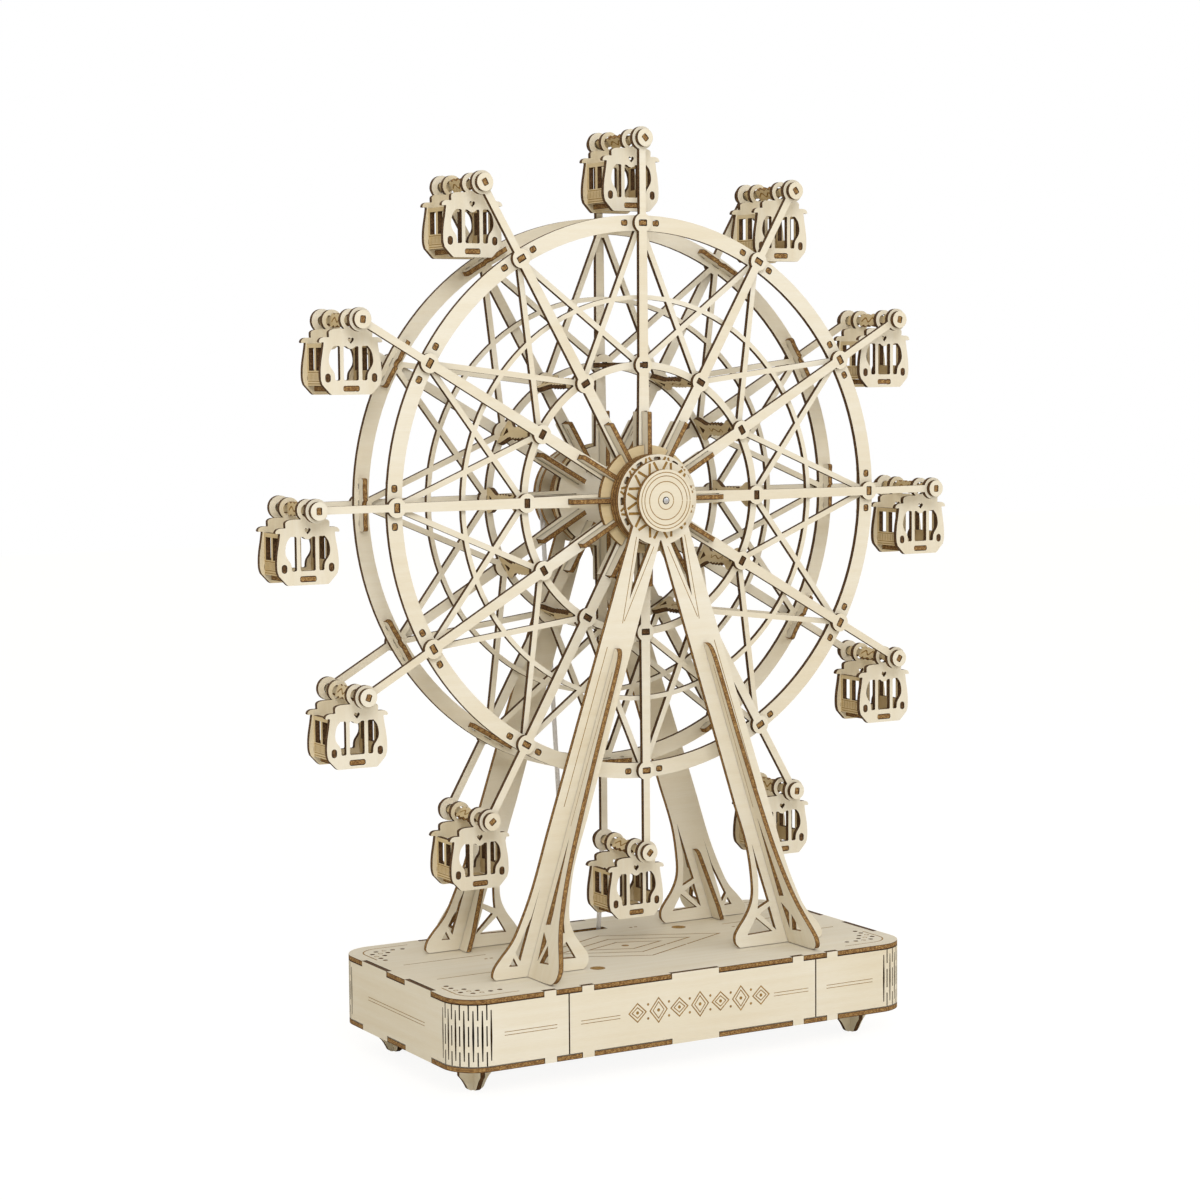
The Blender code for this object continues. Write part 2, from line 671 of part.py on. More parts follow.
def hub(side):
    """Three discs glued in a stack, with twelve fins let into the spokes."""
    outline = circle(HUB_STACK_RADIUS, 24)
    stack = plate(outline, *layer(STACK_BACK, STACK_FACE, side), [bore(AXLE_BORE, 8)])
    fin = box(*layer(FIN_INNER_EDGE, STACK_BACK + LAP, side), FIN_ROOT, FIN_REACH)
    blade = plate(fin, -PLY / 2, PLY / 2, axis="X")
    return joined(stack, ring_of(blade))


def pulley_profile(radius, lip):
    """Two flanges and the core between them, in (distance along Y, radius) pairs."""
    core, flange = radius - GROOVE_HALF, radius + lip
    groove = (BELT_Y - GROOVE_HALF, BELT_Y + GROOVE_HALF)
    points = [(PULLEY_BACK, flange), (groove[0], flange), (groove[0], core)]
    return points + [(groove[1], core), (groove[1], flange), (PULLEY_FACE, flange)]


def build_wheel():
    centre = (0.0, 0.0, HUB_Z)
    add("front_rim", joined(rim(FRONT), brackets(FRONT)), VENEER, centre)
    add("back_rim", joined(rim(BACK), brackets(BACK), cross_plates()), VENEER, centre)
    for end, side in (("front", FRONT), ("back", BACK)):
        add(f"{end}_spokes", spokes(side), VENEER, centre)
        add(f"{end}_hub", hub(side), VENEER, centre)
    shaft = [(-CAP_FACE - GAP, AXLE_RADIUS), (PULLEY_FACE + GAP, AXLE_RADIUS)]
    add("axle", lathe(shaft, 10), STEEL, centre)
    boss = [(CAP_BACK, PULLEY_BOSS_RADIUS), (PULLEY_BACK, PULLEY_BOSS_RADIUS)]
    profile = boss + pulley_profile(HUB_PULLEY_RADIUS, HUB_FLANGE_LIP)
    add("belt_pulley", lathe(profile, 20, AXLE_BORE), VENEER, centre)


# Belt drive
def belt():
    """A round belt from the pulley behind the back tower down to the one inside the base."""
    lean = math.degrees(math.asin((HUB_PULLEY_RADIUS - DRIVE_PULLEY_RADIUS) / (HUB_Z - DRIVE_Z)))
    over = [(HUB_PULLEY_RADIUS, HUB_Z, angle) for angle in even(-lean, 180 + lean, 12)]
    under = [(DRIVE_PULLEY_RADIUS, DRIVE_Z, angle) for angle in even(180 + lean, 360 - lean, 6)]
    bm = bmesh.new()
    rings = []
    for radius, height, angle in over + under:
        ring = []
        for out, across in circle(BELT_RADIUS, 6):
            x, z = polar(radius + out, angle)
            ring.append(bm.verts.new((x, BELT_Y + across, height + z)))
        rings.append(ring)
    for k in range(len(rings)):
        here, there = rings[k - 1], rings[k]
        for i in range(6):
            bm.faces.new((here[i - 1], here[i], there[i], there[i - 1]))
    return finished(bm)


def even(start, end, steps):
    return [start + (end - start) * step / steps for step in range(steps + 1)]


def movement():
    """Bedplate, spring barrel and the two posts that carry the drive shaft."""
    half, y0 = BEDPLATE_LENGTH / 2, BEDPLATE_Y - BEDPLATE_WIDTH / 2
    bed = plate(box(-half, half, y0, y0 + BEDPLATE_WIDTH), WALL_BOTTOM, BEDPLATE_TOP, axis="Z")
    seat = BEDPLATE_TOP - LAP
    drum = circle(BARREL_RADIUS, 14, (BARREL_X, BARREL_Y))
    barrel = plate(drum, seat, BEDPLATE_TOP + BARREL_HEIGHT, axis="Z")
    shape = box(-POST_WIDTH / 2, POST_WIDTH / 2, seat, DRIVE_Z + POST_WIDTH / 2)
    bearing_hole = bore(SHAFT_RADIUS + GAP, 8, (0.0, DRIVE_Z))
    posts = [plate(shape, y - PLY / 2, y + PLY / 2, [bearing_hole]) for y in POST_Y]
    return joined(bed, barrel, *posts)


def winding_key():
    """A butterfly key under the base."""
    low, high = KEY_CLEARANCE, KEY_CLEARANCE + KEY_HEIGHT
    lobe = arc(KEY_HEIGHT / 2, -90, 90, 6, (KEY_SPAN / 2 - KEY_HEIGHT / 2, (low + high) / 2))
    outline = [(0.0, low + KEY_HEIGHT / 4)] + lobe + [(0.0, high)] + flipped(lobe)
    wings = plate(outline, -KEY_THICKNESS / 2, KEY_THICKNESS / 2)
    stem = plate(circle(KEY_SHAFT_RADIUS, 10), high - PLY, WALL_BOTTOM - GAP, axis="Z")
    return joined(wings, stem)


def build_drive():
    add("belt", belt(), CLEAR)
    add("music_movement", movement(), STEEL)
    shaft = [(SHAFT_START, SHAFT_RADIUS), (PULLEY_BACK, SHAFT_RADIUS)]
    profile = shaft + pulley_profile(DRIVE_PULLEY_RADIUS, DRIVE_FLANGE_LIP)
    add("drive_pulley", lathe(profile, 12), VENEER, (0.0, 0.0, DRIVE_Z))
    add("winding_key", winding_key(), BRASS, (BARREL_X, BARREL_Y, 0.0))


# Gondolas, drawn about the pivot
def cabin_windows():
    """Three windows in a row, parted by two bars."""
    middle, outer = WINDOW_BAR_X - WINDOW_BAR / 2, WINDOW_BAR_X + WINDOW_BAR / 2
    right = [(outer, -WINDOW_BOTTOM), (WINDOW_SILL_HALF, -WINDOW_BOTTOM)]
    right += [(WINDOW_HALF, -WINDOW_TOP), (outer, -WINDOW_TOP)]
    return [box(-middle, middle, -WINDOW_BOTTOM, -WINDOW_TOP), right, flipped(right)]


def cabin_panel(side):
    """An end of the cabin with its hanging ring and windows."""
    neck = -math.degrees(math.acos(NECK_HALF / RING_RADIUS))
    half = arc(RING_RADIUS, 90, neck, 3)
    half += [(CROWN_HALF, -CROWN_DROP), (SHOULDER_HALF, -SHOULDER_DROP)]
    half += [(EAVE_HALF, -EAVE_DROP), (CABIN_HALF, -EAVE_DROP)]
    half += [(CABIN_HALF, -CHAMFER_DROP), (CABIN_FLOOR_HALF, -CABIN_DROP)]
    holes = [bore(ROD_BORE, 6), *cabin_windows()]
    outline = half + flipped(half[1:])
    return plate(outline, *layer(CABIN_DEPTH / 2 - PLY, CABIN_DEPTH / 2, side), holes)


def gondola():
    """Cabin of two end panels, two side walls and a floor."""
    reach = CABIN_DEPTH / 2 - PLY + LAP
    wall = box(WALL_X - PLY / 2, WALL_X + PLY / 2, -CHAMFER_DROP, -EAVE_DROP)
    floor = box(-FLOOR_HALF, FLOOR_HALF, -FLOOR_DROP - PLY / 2, -FLOOR_DROP + PLY / 2)
    sides = [plate(loop, -reach, reach) for loop in (wall, flipped(wall), floor)]
    return joined(group([cabin_panel(FRONT), cabin_panel(BACK)]), group(sides))


def hanger_rod():
    """A square rod through two spokes' eyes, with a collar at each end."""
    half = ROD_WIDTH / 2
    rod = plate(box(-half, half, -PLY / 2, PLY / 2), -COLLAR_FACE, COLLAR_FACE)
    ends = [plate(circle(COLLAR_RADIUS, 8), *layer(COLLAR_BACK, COLLAR_FACE, s)) for s in (FRONT, BACK)]
    return joined(rod, group(ends))


def build_gondolas():
    cabin, rod = gondola(), hanger_rod()
    for k in range(SPOKES):
        x, z = polar(PIVOT_RADIUS, 90 - k * PITCH)
        pivot = (x, 0.0, HUB_Z + z)
        add(f"hanger_rod_{k + 1:02d}", rod, VENEER, pivot)
        add(f"gondola_{k + 1:02d}", cabin, VENEER, pivot)


build_base()
build_towers()
build_wheel()
build_drive()
build_gondolas()
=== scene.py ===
import itertools
import math

import bmesh
import bpy
from mathutils import Matrix, Vector


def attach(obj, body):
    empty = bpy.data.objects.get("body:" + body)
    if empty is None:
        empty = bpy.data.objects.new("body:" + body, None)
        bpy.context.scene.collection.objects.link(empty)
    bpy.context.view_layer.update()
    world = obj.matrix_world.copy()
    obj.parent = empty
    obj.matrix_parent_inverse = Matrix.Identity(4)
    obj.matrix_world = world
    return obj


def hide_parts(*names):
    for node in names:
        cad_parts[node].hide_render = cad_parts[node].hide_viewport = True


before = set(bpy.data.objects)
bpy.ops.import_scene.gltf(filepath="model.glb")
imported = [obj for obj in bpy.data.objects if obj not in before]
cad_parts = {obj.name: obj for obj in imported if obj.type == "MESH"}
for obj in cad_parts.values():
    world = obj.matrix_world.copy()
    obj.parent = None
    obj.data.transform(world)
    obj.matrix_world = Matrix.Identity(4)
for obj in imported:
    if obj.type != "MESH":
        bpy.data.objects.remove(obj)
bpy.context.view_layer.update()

# Base plates. Two rounded rectangles of laser-cut birch plywood, notched round the edge for the
# tabs of the panels between them. The top one has scored ornament, small holes and a belt slot.
MM = 0.001
PLY = 2.0
GAP = 0.3
BASE_HALF_LENGTH, BASE_HALF_WIDTH, BASE_CORNER = 105.0, 55.0, 14.0
BASE_BOTTOM, BASE_TOP = 11.5, 39.8
CENTRE_TAB, SMALL_TAB, SIDE_TAB = 21.8, 5.2, 22.7
PANEL_TAB_X, WRAP_TAB_X, SIDE_TAB_Y = 48.9, 65.6, 19.7
BELT_Y = 35.6
BELT_SLOT_HALF_LENGTH, BELT_SLOT_HALF_WIDTH = 11.0, 2.15
KEY_X, KEY_Y, KEY_HOLE = -14.5, 8.0, 2.1
SCORE_DEPTH = 0.05
DOT_RADIUS = 1.05


class Socket:
    """An output in a material's nodes. Arithmetic on it adds Math nodes."""

    def __init__(self, tree, source=None):
        self.tree = tree
        self.source = source

    def node(self, kind, inputs=(), settings=(), output=0):
        made = self.tree.nodes.new(kind)
        for name, value in dict(settings).items():
            if name == "stops":
                for _ in range(len(value) - 2):
                    made.color_ramp.elements.new(0.5)
                for element, (position, colour) in zip(made.color_ramp.elements, value):
                    element.position = position
                    element.color = (*colour, 1.0)
            else:
                setattr(made, name, value)
        for name, value in dict(inputs).items():
            if isinstance(value, Socket):
                self.tree.links.new(value.source, made.inputs[name])
            else:
                made.inputs[name].default_value = value
        return Socket(self.tree, made.outputs[output])

    def maths(self, operation, *values):
        return self.node("ShaderNodeMath", enumerate(values), {"operation": operation})

    def __add__(self, other):
        return self.maths("ADD", self, other)

    def __sub__(self, other):
        return self.maths("SUBTRACT", self, other)

    def __rsub__(self, other):
        return self.maths("SUBTRACT", other, self)

    def __mul__(self, other):
        return self.maths("MULTIPLY", self, other)

    __radd__ = __add__
    __rmul__ = __mul__


def finish(name, roughness=0.6, metallic=0.0, specular=0.5):
    """A new material, and the tree and shader that its pattern joins."""
    made = bpy.data.materials.new(name)
    made.use_nodes = True
    shader = made.node_tree.nodes["Principled BSDF"]
    shader.inputs["Roughness"].default_value = roughness
    shader.inputs["Metallic"].default_value = metallic
    shader.inputs["Specular IOR Level"].default_value = specular
    return made, Socket(made.node_tree), shader


def feed(start, shader, name, value):
    start.tree.links.new(value.source, shader.inputs[name])


def noise(start, where, scale, detail, roughness=0.55):
    """Noise on sheet coordinates, stretched by a scale along and across the grain."""
    laid = start.node("ShaderNodeMapping", {"Vector": where, "Scale": (*scale, 1.0)})
    inputs = {"Vector": laid, "Scale": 1.0, "Detail": detail, "Roughness": roughness}
    return start.node("ShaderNodeTexNoise", inputs, {"noise_dimensions": "2D"})


def ramp(start, value, stops):
    return start.node("ShaderNodeValToRGB", {"Fac": value}, {"stops": stops})


def sheet_place(start):
    """Metres over the sheet, the grain along the first axis."""
    return start.node("ShaderNodeUVMap", (), {"uv_map": "sheet"})


def veneer_finish(name, dark, middling, light):
    """Sanded birch: broad drifts of tone, figure along the grain and fine fibres."""
    made, start, shader = finish(name, 0.62, specular=0.25)
    place = sheet_place(start)
    tone = noise(start, place, (9.0, 16.0), 2.0)
    figure = noise(start, place, (14.0, 300.0), 3.0)
    fibre = noise(start, place, (260.0, 3600.0), 2.0)
    mixed = tone * 0.52 + figure * 0.30 + fibre * 0.18
    stops = [(0.30, dark), (0.50, middling), (0.70, light)]
    feed(start, shader, "Base Color", ramp(start, mixed, stops))
    feed(start, shader, "Roughness", 0.56 + fibre * 0.16)
    bump = start.node("ShaderNodeBump", {"Height": fibre, "Strength": 0.10, "Distance": 0.0001})
    feed(start, shader, "Normal", bump)
    return made


def edge_finish(name, char, wood, glow):
    """A laser-cut edge: char at both faces, brown plies between and flecks where it burnt less."""
    made, start, shader = finish(name, 0.75, specular=0.12)
    place = sheet_place(start)
    depth = start.node("ShaderNodeSeparateXYZ", {"Vector": place}, output=1)
    inside = start.maths("MINIMUM", (1.0 - start.maths("ABSOLUTE", depth * 2.0 - 1.0)) * 3.2, 1.0)
    streak = noise(start, place, (700.0, 1.2), 2.0)
    fleck = noise(start, place, (1300.0, 6.0), 3.0, 0.7)
    heat = inside * (fleck * 0.95 + streak * 0.35 - 0.22)
    stops = [(0.05, char), (0.40, wood), (0.62, glow)]
    feed(start, shader, "Base Color", ramp(start, heat, stops))
    bump = start.node("ShaderNodeBump", {"Height": streak, "Strength": 0.25, "Distance": 0.0002})
    feed(start, shader, "Normal", bump)
    return made


def scored_finish():
    """The bottom of a line that the laser only scored."""
    made, start, shader = finish("scored_line", 0.75)
    burn = noise(start, sheet_place(start), (500.0, 500.0), 2.0)
    stops = [(0.3, (0.215, 0.112, 0.020)), (0.7, (0.370, 0.215, 0.048))]
    feed(start, shader, "Base Color", ramp(start, burn, stops))
    return made


WOOD = [
    veneer_finish("veneer", (0.722, 0.645, 0.492), (0.770, 0.712, 0.582), (0.815, 0.778, 0.680)),
    edge_finish("charred_edge", (0.018, 0.010, 0.006), (0.078, 0.040, 0.018),
                (0.210, 0.115, 0.046)),
    scored_finish(),
    edge_finish("browned_edge", (0.036, 0.018, 0.009), (0.200, 0.102, 0.038),
                (0.500, 0.320, 0.120)),
    # Veneer darkened with painted shade: the deeper one stands for the shade inside the cabins and
    # on shaded parts, on both faces of cabin walls, floors, rods, cross plates and hub discs.
    veneer_finish("deep_painted_shade_veneer", (0.560, 0.420, 0.210), (0.660, 0.530, 0.310),
                  (0.740, 0.620, 0.410)),
    # A lighter veneer darkened with painted shade, on the inner faces of the cabin ends.
    veneer_finish("soft_painted_shade_veneer", (0.660, 0.560, 0.370), (0.735, 0.650, 0.475),
                  (0.790, 0.725, 0.575)),
]
VENEER, CHARRED, SCORED, BROWNED, PAINTED_DEEP_SHADE, PAINTED_SOFT_SHADE = range(6)
SHEETS = itertools.count(1)    # each piece is cut from its own place in the veneer


def polar(radius, degrees):
    angle = math.radians(degrees)
    return (radius * math.cos(angle), radius * math.sin(angle))


def arc(radius, start, end, steps, centre=(0.0, 0.0)):
    points = []
    for step in range(steps + 1):
        u, v = polar(radius, start + (end - start) * step / steps)
        points.append((centre[0] + u, centre[1] + v))
    return points


def circle(radius, sides, centre=(0.0, 0.0)):
    return arc(radius, 0.0, 360.0 - 360.0 / sides, sides - 1, centre)


def box(left, right, bottom, top):
    return [(left, bottom), (right, bottom), (right, top), (left, top)]


def soft_box(half_wide, half_high, radius, centre=(0.0, 0.0)):
    """A box with rounded corners, as the laser cuts a slot."""
    loop = []
    for across, up, turn in ((1, 1, 0), (-1, 1, 90), (-1, -1, 180), (1, -1, 270)):
        corner = (centre[0] + across * (half_wide - radius), centre[1] + up * (half_high - radius))
        loop += arc(radius, turn, turn + 90, 3, corner)
    return loop


def turned(points, degrees):
    c, s = polar(1.0, degrees)
    return [(c * u - s * v, s * u + c * v) for u, v in points]


def shifted(points, across, up):
    return [(u + across, v + up) for u, v in points]


def mirrored(points):
    return [(-u, v) for u, v in reversed(points)]


def crosswise(points):
    return [(u, -v) for u, v in reversed(points)]


def flowing(points, steps=4):
    """A smooth line through the points, ends included."""
    ends = [points[0], *points, points[-1]]
    line = []
    for a, b, c, d in zip(ends, ends[1:], ends[2:], ends[3:]):
        for step in range(steps):
            t = step / steps
            line.append(tuple(
                0.5 * (2 * q + (r - p) * t + (2 * p - 5 * q + 4 * r - s) * t * t
                       + (3 * q - p - 3 * r + s) * t ** 3)
                for p, q, r, s in zip(a, b, c, d)))
    return line + [points[-1]]


def stroke(points, width):
    """The outline of a line this wide, drawn from point to point."""
    line = [Vector(point) for point in points]
    runs = [(b - a).normalized() for a, b in zip(line, line[1:])]
    left, right = [], []
    for (u, v), run, onward in zip(line, runs[:1] + runs, runs + runs[-1:]):
        along = (run + onward).normalized()
        reach = width / 2 / along.dot(run)
        left.append((u - along.y * reach, v + along.x * reach))
        right.append((u + along.y * reach, v - along.x * reach))
    return left + right[::-1]


LAID = {                       # how a sheet is turned to lie square to each axis
    "X": Matrix(((0, 0, 1, 0), (1, 0, 0, 0), (0, 1, 0, 0), (0, 0, 0, 1))),
    "Y": Matrix(((1, 0, 0, 0), (0, 0, 1, 0), (0, 1, 0, 0), (0, 0, 0, 1))),
    "Z": Matrix.Identity(4),
}


def cut_sheet(outline, back, face, holes=(), scores=(), axis="Y", grain=0.0, edge=CHARRED,
              skin=VENEER, lining=None):
    """A piece cut from a sheet: outline and holes right through, and scores sunk in its face."""
    bm = bmesh.new()
    sheet = bm.loops.layers.uv.new("sheet")

    def drawn(loops):
        """Closed runs of edges in the plane of the face."""
        edges = []
        for loop in loops:
            corners = [bm.verts.new((u * MM, v * MM, face * MM)) for u, v in loop]
            edges += [bm.edges.new((corners[i - 1], corners[i])) for i in range(len(corners))]
        return edges

    def filled(edges):
        found = bmesh.ops.triangle_fill(bm, use_beauty=True, edges=edges, normal=(0.0, 0.0, 1.0))
        return [item for item in found["geom"] if isinstance(item, bmesh.types.BMFace)]

    def sunk(edges, depth, wall, floor):
        """Walls down from the edges, and a floor over their lower rim."""
        raised = bmesh.ops.extrude_edge_only(bm, edges=edges)["geom"]
        corners = {item for item in raised if isinstance(item, bmesh.types.BMVert)}
        bmesh.ops.translate(bm, verts=list(corners), vec=(0.0, 0.0, depth * MM))
        rim = []
        for item in raised:
            if isinstance(item, bmesh.types.BMFace):
                item.material_index = wall
            elif isinstance(item, bmesh.types.BMEdge) and corners.issuperset(item.verts):
                rim.append(item)
        for item in filled(rim):
            item.material_index = floor

    through, scored = drawn((outline, *holes)), drawn(scores)
    for item in filled(through + scored):
        item.material_index = skin
    sunk(through, back - face, edge, skin if lining is None else lining)
    if scored:
        sunk(scored, math.copysign(SCORE_DEPTH, back - face), SCORED, SCORED)
    offset = next(SHEETS) * 0.377
    c, s = polar(1.0, -grain)
    thick = abs(back - face) * MM
    for item in bm.faces:
        cut = item.material_index == edge
        for loop in item.loops:
            u, v, w = loop.vert.co
            if cut:
                loop[sheet].uv = (u + v + offset, abs(w - face * MM) / thick)
            else:
                loop[sheet].uv = (c * u - s * v + offset, s * u + c * v + offset * 0.61)
    bmesh.ops.transform(bm, matrix=LAID[axis], verts=bm.verts)
    return bm


def assembled(name, parts, body, *nodes, slot="birch_plywood", finishes=WOOD):
    """Cut pieces in one mesh that rides a body and stands for CAD nodes."""
    whole = bmesh.new()
    for part in parts:
        loose = bpy.data.meshes.new("loose")
        part.to_mesh(loose)
        part.free()
        whole.from_mesh(loose)
        bpy.data.meshes.remove(loose)
    bmesh.ops.recalc_face_normals(whole, faces=whole.faces)
    mesh = bpy.data.meshes.new(name)
    whole.to_mesh(mesh)
    whole.free()
    for wood in finishes:
        mesh.materials.append(wood)
    mesh.shade_smooth()
    mesh.set_sharp_from_angle(angle=math.radians(32))
    piece = bpy.data.objects.new(name, mesh)
    bpy.context.collection.objects.link(piece)
    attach(piece, body)
    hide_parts(*nodes)
    return piece


def stepped_edge(start, end, steps):
    """An edge stepped at each (middle, length, depth), to its left for a positive depth."""
    du, dv = end[0] - start[0], end[1] - start[1]
    length = math.hypot(du, dv)
    du, dv = du / length, dv / length
    middle = ((start[0] + end[0]) / 2, (start[1] + end[1]) / 2)
    points = [start]
    for centre, span, depth in sorted(steps):
        half = span / 2
        for run, rise in ((-half, 0.0), (-half, depth), (half, depth), (half, 0.0)):
            run += centre
            points.append((middle[0] + du * run - dv * rise, middle[1] + dv * run + du * rise))
    return points + [end]


def base_outline():
    """A rounded rectangle with a notch for every tab."""
    half_l, half_w, r = BASE_HALF_LENGTH, BASE_HALF_WIDTH, BASE_CORNER
    notch = PLY + GAP
    long_steps = [(0.0, CENTRE_TAB + 2 * GAP, notch)]
    for x in (PANEL_TAB_X, WRAP_TAB_X):
        long_steps += [(-x, SMALL_TAB + 2 * GAP, notch), (x, SMALL_TAB + 2 * GAP, notch)]
    end_steps = [(y, SIDE_TAB + 2 * GAP, notch) for y in (-SIDE_TAB_Y, SIDE_TAB_Y)]
    right = stepped_edge((half_l, r - half_w), (half_l, half_w - r), end_steps)
    back = stepped_edge((half_l - r, half_w), (r - half_l, half_w), long_steps)
    corner = arc(r, 0, 90, 14, (half_l - r, half_w - r))[1:-1]
    half = right + corner + back + mirrored(corner)
    return half + turned(half, 180)


def in_four(drawn):
    """A loop drawn for one corner, at all four."""
    return [drawn, mirrored(drawn), crosswise(drawn), crosswise(mirrored(drawn))]


def corner_dots():
    """A drift of small holes at each corner."""
    holes = []
    for centre in ((-96.4, -27.3), (-96.4, -31.4), (-96.4, -39.6), (-92.8, -35.4), (-93.0, -43.4),
                   (-89.3, -39.8), (-85.4, -43.4), (-81.2, -43.0)):
        holes += in_four(circle(DOT_RADIUS, 12, centre))
    return holes


def lozenge(half_wide, half_high, line):
    """A lozenge drawn in one line that all but closes, halfway up a side."""
    path = [(half_wide * 0.51, -half_high * 0.49), (half_wide, 0.0), (0.0, half_high),
            (-half_wide, 0.0), (0.0, -half_high), (half_wide * 0.49, -half_high * 0.51)]
    return stroke(path, line)


def top_ornament():
    """Corner borders and rings, long lines, dashes and a nest of lozenges."""
    loops = []
    border = [(-99.2, -29.0), *arc(8.7, 180, 270, 8, (-90.5, -40.4)), (-76.0, -49.1)]
    loops += in_four(stroke(border, 0.6))
    for centre in ((-96.4, -35.6), (-92.8, -39.5), (-89.2, -43.6)):
        loops += in_four(stroke(arc(0.85, 0, 330, 9, centre), 0.4))
    for y in (-14.6, 15.2):
        loops += [stroke([(-94.0, y), (-57.0, y)], 0.7), stroke([(57.0, y), (94.0, y)], 0.7)]
    for half_long, half_wide in ((46.0, 22.0), (31.0, 14.0), (17.0, 7.0)):
        loops.append(lozenge(half_long, half_wide, 0.8))
    loops += [circle(1.6, 14), circle(3.1, 22, (-30.8, -30.8)), circle(3.1, 22, (38.0, 19.8))]
    for x, y in ((-59.4, 8.0), (59.4, 8.0), (-59.4, -8.0), (59.4, -8.0), (21.5, 29.9),
                 (-21.5, 29.9)):
        loops += [box(x + start, x + start + 1.4, y - 0.6, y + 0.6) for start in (-1.9, 0.5)]
    return loops


key_hole = circle(KEY_HOLE, 20, (KEY_X, KEY_Y))
bottom = cut_sheet(base_outline(), BASE_BOTTOM + PLY, BASE_BOTTOM, [key_hole], axis="Z",
                   edge=BROWNED)
assembled("bottom_board", [bottom], "stand", "bottom_plate")
belt_slot = box(-BELT_SLOT_HALF_LENGTH, BELT_SLOT_HALF_LENGTH,
                BELT_Y - BELT_SLOT_HALF_WIDTH, BELT_Y + BELT_SLOT_HALF_WIDTH)
top = cut_sheet(base_outline(), BASE_TOP - PLY, BASE_TOP, [belt_slot, *corner_dots()],
                top_ornament(), axis="Z", edge=BROWNED)
assembled("top_board", [top], "stand", "top_plate")

# Long panels. Front and back walls of the base, held by tabs that run up and down through the
# plates. Each has two pairs of scored lines and a row of scored lozenges between them.
ENDS = (("front", -1), ("back", 1))
SEAM_X = 57.4
WALL_BOTTOM, WALL_TOP = BASE_BOTTOM + PLY + GAP, BASE_TOP - PLY - GAP
DOUBLE_LINE_Z, DOUBLE_LINE = (24.9, 26.15), 0.26
LOZENGES, LOZENGE_PITCH, ROW_X, ROW_Z = 7, 9.6, 2.0, 26.1


def double_line(start, end):
    """Two thin parallel lines."""
    return [stroke([(start, z), (end, z)], DOUBLE_LINE) for z in DOUBLE_LINE_Z]


def lozenge_row():
    """Double lozenges, every other one taller, with a dot in each and two dots between them."""
    loops = []
    for k in range(LOZENGES):
        x = ROW_X + (k - (LOZENGES - 1) / 2) * LOZENGE_PITCH
        half_high = 4.9 if k % 2 else 3.7
        loops.append(shifted(lozenge(3.9, half_high, 0.5), x, ROW_Z))
        loops.append(shifted(lozenge(2.5, half_high - 1.6, 0.4), x, ROW_Z))
        loops.append(circle(0.7, 10, (x, ROW_Z)))
        if k < LOZENGES - 1:
            between = x + LOZENGE_PITCH / 2
            loops += [circle(0.55, 9, (between, ROW_Z + rise)) for rise in (2.8, -2.8)]
    return loops


def long_panel(side):
    x = SEAM_X - GAP
    tabs = [(middle, length, -PLY - GAP) for middle, length in
            ((0.0, CENTRE_TAB), (-PANEL_TAB_X, SMALL_TAB), (PANEL_TAB_X, SMALL_TAB))]
    outline = stepped_edge((-x, WALL_BOTTOM), (x, WALL_BOTTOM), tabs)
    outline += stepped_edge((x, WALL_TOP), (-x, WALL_TOP), tabs)
    scores = lozenge_row() + double_line(-52.2, -34.6) + double_line(37.0, 53.8)
    back, face = side * (BASE_HALF_WIDTH - PLY), side * BASE_HALF_WIDTH
    return cut_sheet(outline, back, face, scores=scores)


for end, side in ENDS:
    assembled(f"{end}_wall", [long_panel(side)], "stand", f"{end}_panel")

# End panels. Each is one flat sheet bent round both corners of the base, where staggered slits
# right through the ply let it bend. Cut flat here, slits and all, and then bent.
HANDS = (("left", -1), ("right", 1))
BEND = BASE_CORNER * math.pi / 2
END_HALF = BASE_HALF_WIDTH - BASE_CORNER
SLIT_PITCH, SLITS, SLIT = 1.78, 13, 0.56
LONG_SLIT = (15.8, 25.6, 35.5)             # heights of its lower end, its widest place and its top
MIDDLE_SLIT = (21.6, 29.4)
LOWER_CUT, UPPER_CUT = 5.6, 5.8            # slits that run in from the sheet's edges
END_LINE, FRONT_LINE = 25.6, (62.7, 85.6)


def round_corner(x):
    """How far along the flat sheet a place on the front or back of the base lies."""
    return END_HALF + BEND + BASE_HALF_LENGTH - BASE_CORNER - x


def slit_middles():
    """Where the slits of one corner lie along the flat sheet."""
    first = END_HALF + (BEND - (SLITS - 1) * SLIT_PITCH) / 2
    return [first + k * SLIT_PITCH for k in range(SLITS)]


def bent(point, side):
    """Where a point of the flat sheet (along, up, inward) goes when the sheet is bent."""
    along, up, inward = point
    past = abs(along) - END_HALF
    angle = min(max(past, 0.0) / BASE_CORNER, math.pi / 2)
    run = max(past - BEND, 0.0)
    radius = BASE_CORNER - inward
    x = BASE_HALF_LENGTH - BASE_CORNER + radius * math.cos(angle) - run
    y = min(abs(along), END_HALF) + radius * math.sin(angle)
    return Vector((side * x, math.copysign(y, along), up)) * MM


